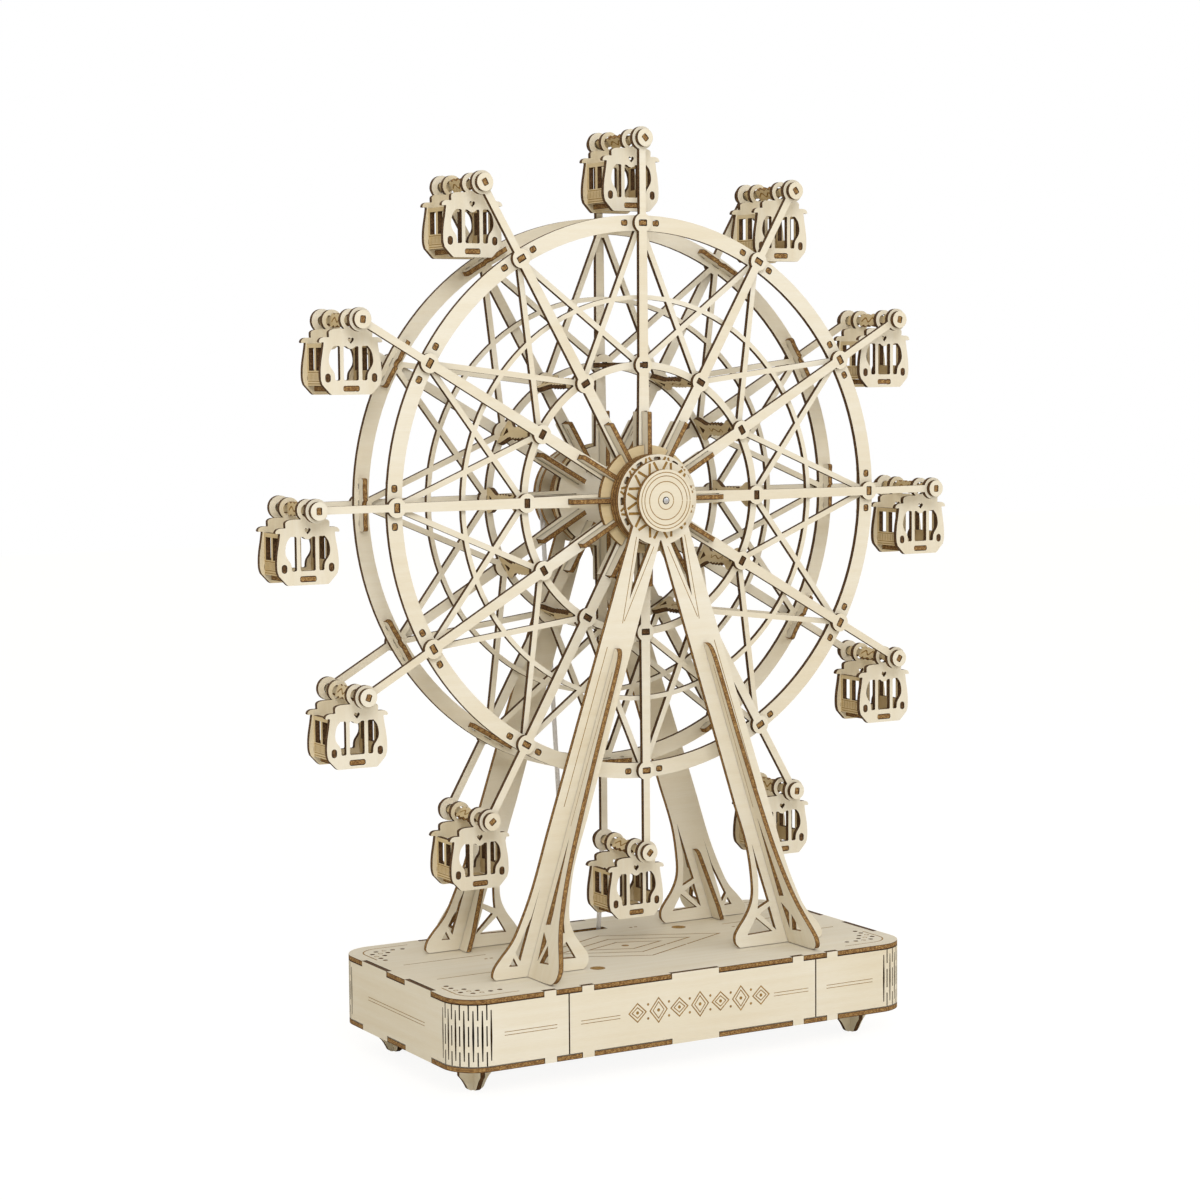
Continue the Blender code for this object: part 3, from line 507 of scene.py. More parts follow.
def wrap_sheet(side):
    reach = -PLY - GAP
    tab, half = round_corner(WRAP_TAB_X), round_corner(SEAM_X + GAP)
    tabs = ((-tab, SMALL_TAB), (tab, SMALL_TAB), (-SIDE_TAB_Y, SIDE_TAB), (SIDE_TAB_Y, SIDE_TAB))
    steps = [(middle, length, reach) for middle, length in tabs]
    holes, top_cuts, bottom_cuts = [], [], []
    low, widest, high = LONG_SLIT
    for k, middle in enumerate(slit_middles()):
        for along in (-middle, middle):
            if k % 2:
                holes.append(box(along - SLIT / 2, along + SLIT / 2, *MIDDLE_SLIT))
                top_cuts.append((-along, SLIT, UPPER_CUT))
                bottom_cuts.append((along, SLIT, LOWER_CUT))
            else:
                flank = [(SLIT * 0.40, low), (SLIT * 0.78, widest), (SLIT * 0.40, high)]
                holes.append(shifted(flank + mirrored(flank), along, 0.0))
    outline = stepped_edge((-half, WALL_BOTTOM), (half, WALL_BOTTOM), steps + bottom_cuts)
    outline += stepped_edge((half, WALL_TOP), (-half, WALL_TOP), steps + top_cuts)
    line_end, line_start = map(round_corner, FRONT_LINE)
    scores = double_line(-END_LINE, END_LINE)
    scores += double_line(line_start, line_end) + double_line(-line_end, -line_start)
    bm = cut_sheet(outline, PLY, 0.0, holes, scores, axis="Z")
    for middle in slit_middles():
        for along in (-middle, middle):
            everything = bm.verts[:] + bm.edges[:] + bm.faces[:]
            bmesh.ops.bisect_plane(bm, geom=everything, plane_co=(along * MM, 0, 0),
                                   plane_no=(1, 0, 0))
    for corner in bm.verts:
        corner.co = bent(corner.co / MM, side)
    return bm


for hand, side in HANDS:
    assembled(f"{hand}_end_wall", [wrap_sheet(side)], "stand", f"{hand}_wrap_panel")

# Feet. Two pieces slotted across each other under every corner of the base, each cut away to a
# small toe with a hollow curve.
FOOT_X, FOOT_Y = 88.7, 35.3
curve = flowing([(2.2, 0.0), (3.3, 0.7), (4.1, 2.1), (4.9, 3.5), (5.8, 4.8), (6.8, 5.9),
                 (7.0, 6.8), (7.0, BASE_BOTTOM - GAP)])
outline = curve + mirrored(curve)
for end, facing in ENDS:
    for hand, side in HANDS:
        x, y = side * FOOT_X, facing * FOOT_Y
        across = cut_sheet(shifted(outline, x, 0.0), y - PLY / 2, y + PLY / 2)
        along = cut_sheet(shifted(outline, y, 0.0), x - PLY / 2, x + PLY / 2, axis="X")
        assembled(f"{end}_{hand}_toes", [across, along], "stand", f"{end}_{hand}_foot")

# Towers. An A-shaped plate each side of the wheel, its round head carrying the axle and its feet
# cut into a lattice. Scored lines edge the notches, and scored darts run round the head.
HUB_RISE = 185.2               # heights on the towers count from the top of the base
HUB_Z = BASE_TOP + HUB_RISE
TOWER_BACK, TOWER_FACE = 28.4, 30.4
LEG_HEAD_X, LEG_FOOT_X = 2.1, 61.4
LEG_SLOPE = (LEG_FOOT_X - LEG_HEAD_X) / HUB_RISE
SPOKES, PITCH = 12, 30.0
HEAD_RADIUS, BEARING_HOLE = 16.0, 1.6
NOTCH_RADIUS, NOTCH_DROP = 17.9, 38.7
TOE_INWARD, TOE_OUTWARD, SPLAY_RISE = 25.3, 15.3, 59.5


def leg_x(rise):
    """The right leg's middle line."""
    return LEG_FOOT_X - LEG_SLOPE * rise


def splayed(points):
    """Points of the right foot from shares of its width, from the inner toe, and of its rise."""
    placed = []
    for across, up in points:
        x, z = across * (TOE_INWARD + TOE_OUTWARD) - TOE_INWARD, up * SPLAY_RISE
        placed.append((leg_x(z) + x, z))
    return placed


def tower_sheet(side):
    head = arc(HEAD_RADIUS, 90, -38, 30, (0.0, HUB_RISE))
    outer = flowing([(0.842, 1.0), (0.842, 0.592), (0.881, 0.339), (0.919, 0.232), (0.989, 0.150),
                     (1.035, 0.086), (1.032, 0.030), (0.990, 0.005)])
    inner = flowing([(0.020, 0.005), (-0.010, 0.040), (0.010, 0.092), (0.071, 0.140),
                     (0.219, 0.235), (0.329, 0.339), (0.392, 0.474), (0.446, 0.709),
                     (0.442, 1.0)])
    half = head + splayed(outer[1:]) + splayed(inner) + [(GAP, HUB_RISE - HEAD_RADIUS)]
    outline = half + mirrored(half[1:])
    tip = HUB_RISE - NOTCH_DROP
    notch = [(leg_x(tip), tip)] + arc(NOTCH_RADIUS, -56, -75, 4, (0.0, HUB_RISE))
    inner_blade = flowing([(0.501, 0.721), (0.467, 0.503), (0.410, 0.365), (0.352, 0.262)])
    inner_blade += [(0.513, 0.306)]
    outer_blade = [(0.771, 0.593), (0.775, 0.113), (0.854, 0.171), (0.781, 0.400)]
    upper_web = [(0.364, 0.225), (0.501, 0.097), (0.501, 0.271)]
    lower_web = [(0.147, 0.087), (0.453, 0.094), (0.306, 0.205)]
    toe_web = [(0.787, 0.082), (0.885, 0.086), (0.859, 0.141)]
    holes = [circle(BEARING_HOLE, 20, (0.0, HUB_RISE))]
    cutouts = map(splayed, (inner_blade, outer_blade, upper_web, lower_web, toe_web))
    for cutout in (notch, *cutouts):
        holes += [cutout, mirrored(cutout)]
    scores = []
    for drawn in ([(11.2, 171.0), (17.9, 137.0)], [(3.2, 166.8), (17.1, 137.8)],
                  [(leg_x(128.0) + 4.5, 128.0), (leg_x(66.0) + 4.9, 66.0)]):
        scores += [stroke(drawn, 0.3), mirrored(stroke(drawn, 0.3))]
    for k in range(SPOKES):
        for lean in (-1, 1):
            dart = [polar(radius, k * PITCH + lean * spread)
                    for radius, spread in ((11.0, 3.1), (15.5, 11.6))]
            scores.append(shifted(stroke(dart, 1.1), 0.0, HUB_RISE))
    bm = cut_sheet(outline, side * TOWER_BACK, side * TOWER_FACE, holes, scores, edge=BROWNED)
    bmesh.ops.translate(bm, verts=bm.verts, vec=(0.0, 0.0, BASE_TOP * MM))
    return bm


for end, side in ENDS:
    assembled(f"{end}_frame", [tower_sheet(side)], "stand", f"{end}_tower")

# Leg fins. A long plate on edge down the outside of each leg and a short one inside, which keep
# the towers upright. The long ones spread into a lattice foot.
STIFFENER_FOOT, STIFFENER_RISE = 21.9, 127.2
BRACE_FOOT, BRACE_RISE = 6.2, 31.2


def leg_plate(outline, holes, scores, side, hand):
    """A plate square to the tower on a leg's middle line, from distances outward and heights."""
    half = PLY / 2 * math.hypot(1.0, LEG_SLOPE)
    placed = [[(side * y, z) for y, z in loop] for loop in (outline, *holes, *scores)]
    count = 1 + len(holes)
    bm = cut_sheet(placed[0], half, -half, placed[1:count], placed[count:], axis="X", grain=90.0,
                   edge=BROWNED)
    lean = Matrix.Identity(4)
    lean[0][2] = -hand * LEG_SLOPE
    lean[0][3] = hand * LEG_FOOT_X * MM
    lift = Matrix.Translation((0.0, 0.0, BASE_TOP * MM))
    bmesh.ops.transform(bm, matrix=lift @ lean, verts=bm.verts)
    return bm


def long_fin(side, hand):
    edge = flowing([(0.72, 0.003), (0.87, 0.006), (0.965, 0.018), (1.0, 0.036), (0.965, 0.062),
                    (0.685, 0.143), (0.516, 0.224), (0.388, 0.332), (0.315, 0.473), (0.251, 0.692),
                    (0.215, 0.921), (0.174, 0.980), (0.091, 0.998)])
    blade = flowing([(0.169, 0.429), (0.160, 0.300), (0.160, 0.163)], 2) + [(0.333, 0.169)]
    upper_web = [(0.164, 0.142), (0.210, 0.055), (0.356, 0.116)]
    lower_web = [(0.292, 0.052), (0.612, 0.057), (0.420, 0.108)]
    outline, *holes = [[(TOWER_FACE + out * STIFFENER_FOOT, up * STIFFENER_RISE)
                        for out, up in shares] for shares in (edge, blade, upper_web, lower_web)]
    outline += [(TOWER_FACE + GAP, STIFFENER_RISE), (TOWER_FACE + GAP, GAP)]
    line = [(TOWER_FACE + 3.1, STIFFENER_RISE * 0.93), (TOWER_FACE + 2.6, STIFFENER_RISE * 0.46)]
    return leg_plate(outline, holes, [stroke(line, 0.3)], side, hand)


def short_fin(side, hand):
    face = TOWER_BACK - GAP
    outline = [(face, GAP), (face - BRACE_FOOT, GAP)]
    for inward, up in flowing([(1.0, 0.199), (0.500, 0.840), (0.355, 0.962), (0.0, 1.0)]):
        outline.append((face - inward * BRACE_FOOT, up * BRACE_RISE))
    return leg_plate(outline, [], [], side, hand)


for end, side in ENDS:
    for hand_name, hand in HANDS:
        leg = f"{end}_{hand_name}"
        assembled(f"{leg}_leg_fin", [long_fin(side, hand)], "stand", f"{leg}_stiffener")
        assembled(f"{leg}_inner_fin", [short_fin(side, hand)], "stand", f"{leg}_brace")

# Axle cap. A small disc and a larger one, glued to the front tower's head over the end of the
# axle. The larger one has four scored rings.
CAP_BACK, CAP_RADIUS, SPACER_RADIUS = 30.7, 12.4, 9.0
AXLE_HOLE = circle(1.55, 20)


def at_hub(bm):
    bmesh.ops.translate(bm, verts=bm.verts, vec=(0.0, 0.0, HUB_Z * MM))
    return bm


rings = [stroke(arc(radius, 0, 358.5, 48), 0.34) for radius in (11.2, 9.8, 7.6, 3.5)]
spacer = cut_sheet(circle(SPACER_RADIUS, 40), -CAP_BACK, -CAP_BACK - PLY, [AXLE_HOLE])
cap = cut_sheet(circle(CAP_RADIUS, 56), -CAP_BACK - PLY, -CAP_BACK - 2 * PLY, [AXLE_HOLE], rings,
                edge=BROWNED)
assembled("cap_discs", [at_hub(spacer), at_hub(cap)], "stand", "axle_cap")

# Rims. Two lattice wheels cut from sheets, with bands at three radii and crossed struts. Short
# curly brackets are let into their inner faces, and waisted plates hold the two apart.
NODE_RADIUS, INNER_NODE, OUTER_BAND, MIDDLE_RING = 110.0, 53.6, 6.2, 80.6
MIDDLE_BAND, INNER_BAND, STRUT, PAD = 1.8, 2.8, 2.2, 4.5
RIM_BACK, RIM_FACE = 14.0, 16.0
TENON_X, TENON_WIDTH, TENON_REACH = 7.3, 3.2, 4.15
SLOT_HALF = 1.3


def beside(a, b, shift):
    """The line through two points, moved sideways."""
    du, dv = b[0] - a[0], b[1] - a[1]
    scale = shift / math.hypot(du, dv)
    return ((a[0] - dv * scale, a[1] + du * scale), (b[0] - dv * scale, b[1] + du * scale))


def meeting(line, other):
    """Where two lines cross."""
    (a, b), (c, d) = line
    (e, f), (g, h) = other
    turn = (c - a) * (h - f) - (d - b) * (g - e)
    t = ((e - a) * (h - f) - (f - b) * (g - e)) / turn
    return (a + t * (c - a), b + t * (d - b))


def on_circle(line, radius, centre=(0.0, 0.0)):
    """Where a line that starts outside a circle first meets it."""
    (a, b), (c, d) = line
    a, b, c, d = a - centre[0], b - centre[1], c - centre[0], d - centre[1]
    du, dv = c - a, d - b
    p, q = du * du + dv * dv, a * du + b * dv
    t = (-q - math.sqrt(q * q - p * (a * a + b * b - radius * radius))) / p
    return (centre[0] + a + t * du, centre[1] + b + t * dv)


def bearing(point, centre=(0.0, 0.0)):
    return math.degrees(math.atan2(point[1] - centre[1], point[0] - centre[0]))


def lattice_cutouts():
    """Openings of one pitch of the rim, with a spoke's direction along the first axis."""
    half = STRUT / 2
    band = NODE_RADIUS - OUTER_BAND / 2
    ring_out, ring_in = MIDDLE_RING + MIDDLE_BAND / 2, MIDDLE_RING - MIDDLE_BAND / 2
    inner_band = INNER_NODE + INNER_BAND / 2
    node, inner_node = (NODE_RADIUS, 0.0), (INNER_NODE, 0.0)
    falling = (node, polar(INNER_NODE, PITCH))
    rising = (polar(NODE_RADIUS, PITCH), inner_node)
    bisector = ((0.0, 0.0), polar(NODE_RADIUS, PITCH / 2))
    outside, inside = beside(*falling, -half), beside(*falling, half)
    above, below = beside(*rising, -half), beside(*rising, half)

    first, second = bearing(on_circle(outside, band)), bearing(on_circle(outside, ring_out))
    window = arc(band, first, PITCH - first, 10) + arc(ring_out, PITCH - second, second, 4)
    first = bearing(on_circle(outside, ring_in))
    wedge = arc(ring_in, first, PITCH - first, 3) + [meeting(outside, bisector)]
    cosine = (inner_band ** 2 + INNER_NODE ** 2 - PAD ** 2) / (2 * inner_band * INNER_NODE)
    first = math.degrees(math.acos(cosine))
    from_strut = bearing(on_circle(above, PAD, inner_node), inner_node)
    to_band = bearing(polar(inner_band, first), inner_node)
    around = arc(PAD, from_strut, to_band, 4, inner_node)
    fan = [meeting(above, bisector)] + around + arc(inner_band, first, PITCH - first, 8)[1:-1]
    fan += turned(crosswise(around), PITCH)

    tip = meeting(inside, ((NODE_RADIUS - PAD, 0.0), (NODE_RADIUS - PAD, PAD)))
    first = bearing(on_circle(inside, ring_out))
    spear = crosswise([tip]) + [tip] + arc(ring_out, first, -first, 4)
    turn = bearing(on_circle(below, PAD, inner_node), inner_node)
    first = bearing(on_circle(inside, ring_in))
    flank = meeting(inside, below)
    kite = arc(ring_in, -first, first, 4) + [flank]
    kite += arc(PAD, turn, -turn, 6, inner_node) + crosswise([flank])
    return [window, wedge, fan, spear, kite]


def around_wheel(bm):
    """A piece drawn at the top of the wheel, at every spoke."""
    pieces = []
    for k in range(SPOKES):
        pieces.append(bm.copy())
        turn = Matrix.Rotation(math.radians(k * PITCH), 4, "Y")
        bmesh.ops.transform(pieces[-1], matrix=turn, verts=pieces[-1].verts)
    bm.free()
    return pieces


def rim_sheet(side):
    holes = [circle(INNER_NODE - INNER_BAND / 2, 96)]
    slots = [soft_box(SLOT_HALF, 1.5, 0.9, (NODE_RADIUS, across))
             for across in (-TENON_X, TENON_X)]
    slots += [soft_box(SLOT_HALF, 1.9, 0.4, (radius, 0.0)) for radius in (NODE_RADIUS, INNER_NODE)]
    for k in range(SPOKES):
        holes += [turned(cutout, k * PITCH) for cutout in lattice_cutouts() + slots]
    outline = circle(NODE_RADIUS + OUTER_BAND / 2, 144)
    return cut_sheet(outline, side * RIM_BACK, side * RIM_FACE, holes)


def bracket_sheet(side):
    """A curly bracket with two tenons through the rim and one through the spoke's eye as well."""
    half = flowing([(10.35, RIM_BACK - 0.05), (10.35, 11.0), (9.3, 10.2), (7.2, 10.5), (4.5, 10.4),
                    (2.7, 10.3), (1.8, 10.0), (1.2, 10.9), (0.0, 11.5)], 3)
    tenons = [(-TENON_X, 2.3, 1.95), (0.0, TENON_WIDTH, TENON_REACH), (TENON_X, 2.3, 1.95)]
    outline = stepped_edge(mirrored(half)[-1], half[0], tenons)[:-1] + half + mirrored(half)[1:-1]
    outline = [(x, side * y) for x, y in outline]
    return cut_sheet(outline, NODE_RADIUS + PLY / 2, NODE_RADIUS - PLY / 2, axis="Z", edge=BROWNED)


def cross_sheet():
    """A waisted plate with a three-cornered hole near each end and a scored flourish between."""
    near = RIM_BACK - 0.05
    half = flowing([(5.0, near), (5.0, near - 2.4), (3.9, near - 4.6), (2.6, near - 6.8),
                    (2.2, near - 9.0), (2.9, 3.5), (2.3, 2.4), (2.9, 1.2), (2.4, 0.0)], 3)
    right = half + [(x, -y) for x, y in reversed(half)][1:]
    tenon = [(0.0, TENON_WIDTH, TENON_REACH)]
    front_end = stepped_edge((5.0, -near), (-5.0, -near), tenon)
    back_end = stepped_edge((-5.0, near), (5.0, near), tenon)
    outline = right[:-1] + front_end + mirrored(right)[1:-1] + back_end[:-1]
    hole = [(0.0, near - 5.2), (1.9, near - 2.2), (-1.9, near - 2.2)]
    flourish = flowing([(0.9, -4.6), (-0.5, -3.8), (0.7, -1.6), (-0.7, 1.6), (0.5, 3.8),
                        (-0.9, 4.6)])
    # Both faces take the deeper painted shade, for the shade between the rims.
    return cut_sheet(outline, INNER_NODE + PLY / 2, INNER_NODE - PLY / 2, [hole, crosswise(hole)],
                     [stroke(flourish, 0.5)], axis="Z", grain=90.0, skin=PAINTED_DEEP_SHADE)


for end, side in ENDS:
    pieces = [rim_sheet(side)] + around_wheel(bracket_sheet(side))
    if side > 0:
        pieces += around_wheel(cross_sheet())
    assembled(f"{end}_lattice", [at_hub(piece) for piece in pieces], "wheel", f"{end}_rim")

# Spokes. Twelve long arms and their hub plate cut as one sheet, laid on the outside of each rim,
# with a notched disc glued over the plate. Tenons through the eyes lock the layers together.
SPOKE_BACK, SPOKE_FACE = 16.3, 18.3
PIVOT_RADIUS = 143.4
EYE, PIVOT_EYE, PIVOT_HOLE, HUB_PLATE, HUB_DISC = 3.8, 4.6, 2.1, 20.6, 21.7
FIN_ROOT, FIN_REACH = 12.3, 35.0


def spoke_edge():
    """The upper edge of a spoke that runs along the first axis, from its tip to the hub plate."""
    def cut_by(width, radius):
        """The bearing at which an arm this wide leaves a circle."""
        return math.degrees(math.asin(width / 2 / radius))

    points = arc(PIVOT_EYE, 0, 180 - cut_by(2.9, PIVOT_EYE), 14, (PIVOT_RADIUS, 0.0))
    for radius, outer, inner in ((NODE_RADIUS, 2.9, 3.6), (INNER_NODE, 4.1, 4.3)):
        points += arc(EYE, cut_by(outer, EYE), 180 - cut_by(inner, EYE), 10, (radius, 0.0))
    return points + arc(HUB_PLATE, cut_by(5.3, HUB_PLATE), PITCH / 2, 4)[:-1]


def spoke_sheet(side):
    edge = spoke_edge()
    arm = crosswise(edge) + edge[1:]
    slot = box(FIN_ROOT - GAP, FIN_REACH + GAP, -PLY / 2 - GAP, PLY / 2 + GAP)
    cuts = [slot, circle(PIVOT_HOLE, 16, (PIVOT_RADIUS, 0.0))]
    cuts += [soft_box(SLOT_HALF, 1.9, 0.4, (radius, 0.0)) for radius in (NODE_RADIUS, INNER_NODE)]
    outline, holes = [], [AXLE_HOLE]
    for k in range(SPOKES):
        outline += turned(arm, k * PITCH)
        outline.append(polar(HUB_PLATE, (k + 0.5) * PITCH))
        holes += [turned(cut, k * PITCH) for cut in cuts]
    return cut_sheet(outline, side * SPOKE_BACK, side * SPOKE_FACE, holes)


def notched_disc(side):
    """A disc with a notch for every fin, a little wider than the hub plate under it."""
    half = PLY / 2 + GAP
    open_at = math.degrees(math.asin(half / HUB_DISC))
    outline = []
    for k in range(SPOKES):
        outline += turned([(FIN_ROOT - GAP, -half), (FIN_ROOT - GAP, half)], k * PITCH)
        outline += turned(arc(HUB_DISC, open_at, PITCH - open_at, 8), k * PITCH)
    face = side * SPOKE_FACE
    # Its faces take the deeper painted shade, for the shadow that the hub stack casts on it.
    return cut_sheet(outline, face, face + side * PLY, [AXLE_HOLE], edge=BROWNED, skin=PAINTED_DEEP_SHADE)


for end, side in ENDS:
    layers = [at_hub(spoke_sheet(side)), at_hub(notched_disc(side))]
    assembled(f"{end}_arms", layers, "wheel", f"{end}_spokes")

# Hubs. Three discs glued in a stack, which turn just inside each tower's head, and twelve fins let
# into the spokes. The outer disc has a ring of slots for the fins' tabs and scored darts between.
STACK_BACK, STACK_RADIUS, STACK_PLIES = 22.1, 18.2, 3
FIN_BACK, FIN_FACE, FIN_CLIP = 11.0, STACK_BACK + 0.4, 0.4


def hub_pieces(side):
    holes, darts = [AXLE_HOLE], []
    for k in range(SPOKES):
        holes.append(turned(soft_box(0.85, 1.6, 0.8, (16.4, 0.0)), k * PITCH))
        for lean in (-1, 1):
            middle = (k + 0.5) * PITCH
            dart = [polar(17.5, middle + lean * 1.9), polar(14.6, middle + lean * 7.6)]
            darts.append(stroke(dart, 0.95))
    discs = []
    for k in range(STACK_PLIES):
        back, face = side * (STACK_BACK + k * PLY), side * (STACK_BACK + (k + 1) * PLY)
        cuts, scores = (holes, darts) if k == STACK_PLIES - 1 else ([AXLE_HOLE], ())
        discs.append(cut_sheet(circle(STACK_RADIUS, 72), back, face, cuts, scores, edge=BROWNED))
    low, high = sorted((side * FIN_BACK, side * FIN_FACE))
    fin = [(low, FIN_ROOT), (high, FIN_ROOT), (high, FIN_REACH - FIN_CLIP),
           (high - FIN_CLIP, FIN_REACH), (low + FIN_CLIP, FIN_REACH), (low, FIN_REACH - FIN_CLIP)]
    line = box(*sorted((side * 14.2, side * 14.6)), FIN_REACH - 7.5, FIN_REACH - 2.0)
    blade = cut_sheet(fin, PLY / 2, -PLY / 2, scores=[line], axis="X", grain=90.0, edge=BROWNED)
    return discs + around_wheel(blade)


for end, side in ENDS:
    pieces = [at_hub(piece) for piece in hub_pieces(side)]
    assembled(f"{end}_hub_stack", pieces, "wheel", f"{end}_hub")

# Axle. A bright drawn-steel rod through both towers, its ends just chamfered. The wheel is glued
# to it, and it turns in the towers' heads.
AXLE_RADIUS, AXLE_FRONT, AXLE_BACK = 1.25, -35.0, 39.2
CHAMFER = 0.3


def turned_rod(radius, low, high):
    """A round rod along Y with chamfered ends."""
    bm = bmesh.new()
    bmesh.ops.create_cone(bm, cap_ends=True, segments=32, radius1=radius * MM, radius2=radius * MM,
                          depth=(high - low) * MM)
    rims = [edge for edge in bm.edges if any(len(face.verts) > 4 for face in edge.link_faces)]
    bmesh.ops.bevel(bm, geom=rims, offset=CHAMFER * MM, affect="EDGES", segments=2, profile=0.5,
                    material=-1)
    middle = Matrix.Translation((0.0, (low + high) / 2 * MM, 0.0))
    lay = Matrix.Rotation(math.pi / 2, 4, "X")
    bmesh.ops.transform(bm, matrix=middle @ lay, verts=bm.verts)
    return bm


def metal_finish(name, dark, light, roughness):
    """Drawn or rolled metal with fine scratches along Y."""
    made, start, shader = finish(name, roughness, 1.0)
    place = start.node("ShaderNodeTexCoord", output=3)
    laid = start.node("ShaderNodeMapping", {"Vector": place, "Scale": (2200.0, 260.0, 2200.0)})
    grain = start.node("ShaderNodeTexNoise", {"Vector": laid, "Scale": 1.0, "Detail": 3.0})
    feed(start, shader, "Base Color", ramp(start, grain, [(0.3, dark), (0.7, light)]))
    feed(start, shader, "Roughness", grain * 0.2 + roughness)
    return made


STEEL = metal_finish("drawn_steel", (0.46, 0.46, 0.47), (0.66, 0.66, 0.68), 0.16)
axle = at_hub(turned_rod(AXLE_RADIUS, AXLE_FRONT, AXLE_BACK))
assembled("axle_rod", [axle], "wheel", "axle", slot="steel", finishes=[STEEL])

# Belt pulleys. Each is two ply discs with a smaller one glued between them. One sits on the axle
# behind the back tower, the other on the movement's shaft, and a clear elastic belt joins them.
GROOVE = 1.3                   # the belt's groove, from its middle to a flange
UPPER_RADIUS, LOWER_RADIUS, BELT_RADIUS = 18.0, 7.0, 1.0
BOSS_BACK, BOSS_RADIUS = 30.7, 6.0
SHAFT_RADIUS, SHAFT_FRONT, SHAFT_BACK = 1.2, 8.5, 38.9
DRIVE_Z = 25.9


def pulley_discs(radius, lip):
    """Two flanges and the core between them."""
    core, flange = radius - GROOVE, radius + lip
    layers = ((flange, BELT_Y - GROOVE - PLY, BELT_Y - GROOVE),
              (core, BELT_Y - GROOVE, BELT_Y + GROOVE),
              (flange, BELT_Y + GROOVE, BELT_Y + GROOVE + PLY))
    return [cut_sheet(circle(r, 64), near, far, [AXLE_HOLE], edge=BROWNED)
            for r, near, far in layers]


boss = cut_sheet(circle(BOSS_RADIUS, 36), BOSS_BACK, BELT_Y - GROOVE - PLY, [AXLE_HOLE],
                 edge=BROWNED)
upper = [at_hub(piece) for piece in [boss] + pulley_discs(UPPER_RADIUS, 2.0)]
assembled("hub_pulley", upper, "wheel", "belt_pulley")

lower = pulley_discs(LOWER_RADIUS, 1.5) + [turned_rod(SHAFT_RADIUS, SHAFT_FRONT, SHAFT_BACK)]
for piece in lower:
    bmesh.ops.translate(piece, verts=piece.verts, vec=(0.0, 0.0, DRIVE_Z * MM))
assembled("shaft_pulley", lower, "drive", "drive_pulley")


def belt_finish():
    """Clear elastic cord, a little hazy."""
    made, start, shader = finish("clear_elastic", 0.22)
    place = start.node("ShaderNodeTexCoord", output=3)
    haze = start.node("ShaderNodeTexNoise", {"Vector": place, "Scale": 90.0, "Detail": 2.0})
    stops = [(0.3, (0.80, 0.79, 0.80)), (0.7, (0.92, 0.91, 0.92))]
    feed(start, shader, "Base Color", ramp(start, haze, stops))
    shader.inputs["Transmission Weight"].default_value = 0.55
    shader.inputs["IOR"].default_value = 1.42
    return made


lean = math.degrees(math.asin((UPPER_RADIUS - LOWER_RADIUS) / (HUB_Z - DRIVE_Z)))
path = arc(UPPER_RADIUS, -lean, 180 + lean, 32, (0.0, HUB_Z))
path += arc(LOWER_RADIUS, 180 + lean, 360 - lean, 20, (0.0, DRIVE_Z))
line = bpy.data.curves.new("belt_line", "CURVE")
line.dimensions = "3D"
line.bevel_depth = BELT_RADIUS * MM
line.bevel_resolution = 3
spline = line.splines.new("POLY")
spline.points.add(len(path) - 1)
for point, (x, z) in zip(spline.points, path):
    point.co = (x * MM, BELT_Y * MM, z * MM, 1.0)
spline.use_cyclic_u = True
drawn = bpy.data.objects.new("belt_line", line)
bpy.context.collection.objects.link(drawn)
mesh = bpy.data.meshes.new_from_object(drawn.evaluated_get(bpy.context.evaluated_depsgraph_get()))
bpy.data.objects.remove(drawn, do_unlink=True)
loop = bmesh.new()
loop.from_mesh(mesh)
assembled("belt_loop", [loop], "stand", "belt", slot="clear_belt", finishes=[belt_finish()])

# Movement and key. A wind-up movement on a steel bedplate in the base, wound from below with a
# butterfly key of stamped brass. Both keep the frame's own solids.
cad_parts["music_movement"].material_slots[0].material = STEEL
BRASS = metal_finish("stamped_brass", (0.52, 0.36, 0.13), (0.80, 0.61, 0.30), 0.24)
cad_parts["winding_key"].material_slots[0].material = BRASS

# Gondolas. Each cabin has two end panels with a hanging ring, a stepped crown and three windows,
# and side walls and a floor whose tenons come through the ends. It swings on a scrolled rod.
CABIN_HALF_DEPTH = 9.4
WALL_MIDDLE, WALL_BASE, WALL_HEAD, WALL_TENON_Z = 9.7, -24.9, -8.9, -22.0
FLOOR_Z, FLOOR_HALF = -26.1, 8.0
TENON_SHY = 0.15               # how far a tenon stays behind the face
RIBS, RIB_PITCH = 11, 1.2
COLLAR_BACK, COLLAR_RADIUS = 18.6, 3.5
ROD_LEANS = (-42, -34, 12, 0, 30, 6, 42, 50, 20, 0, 6, -28)


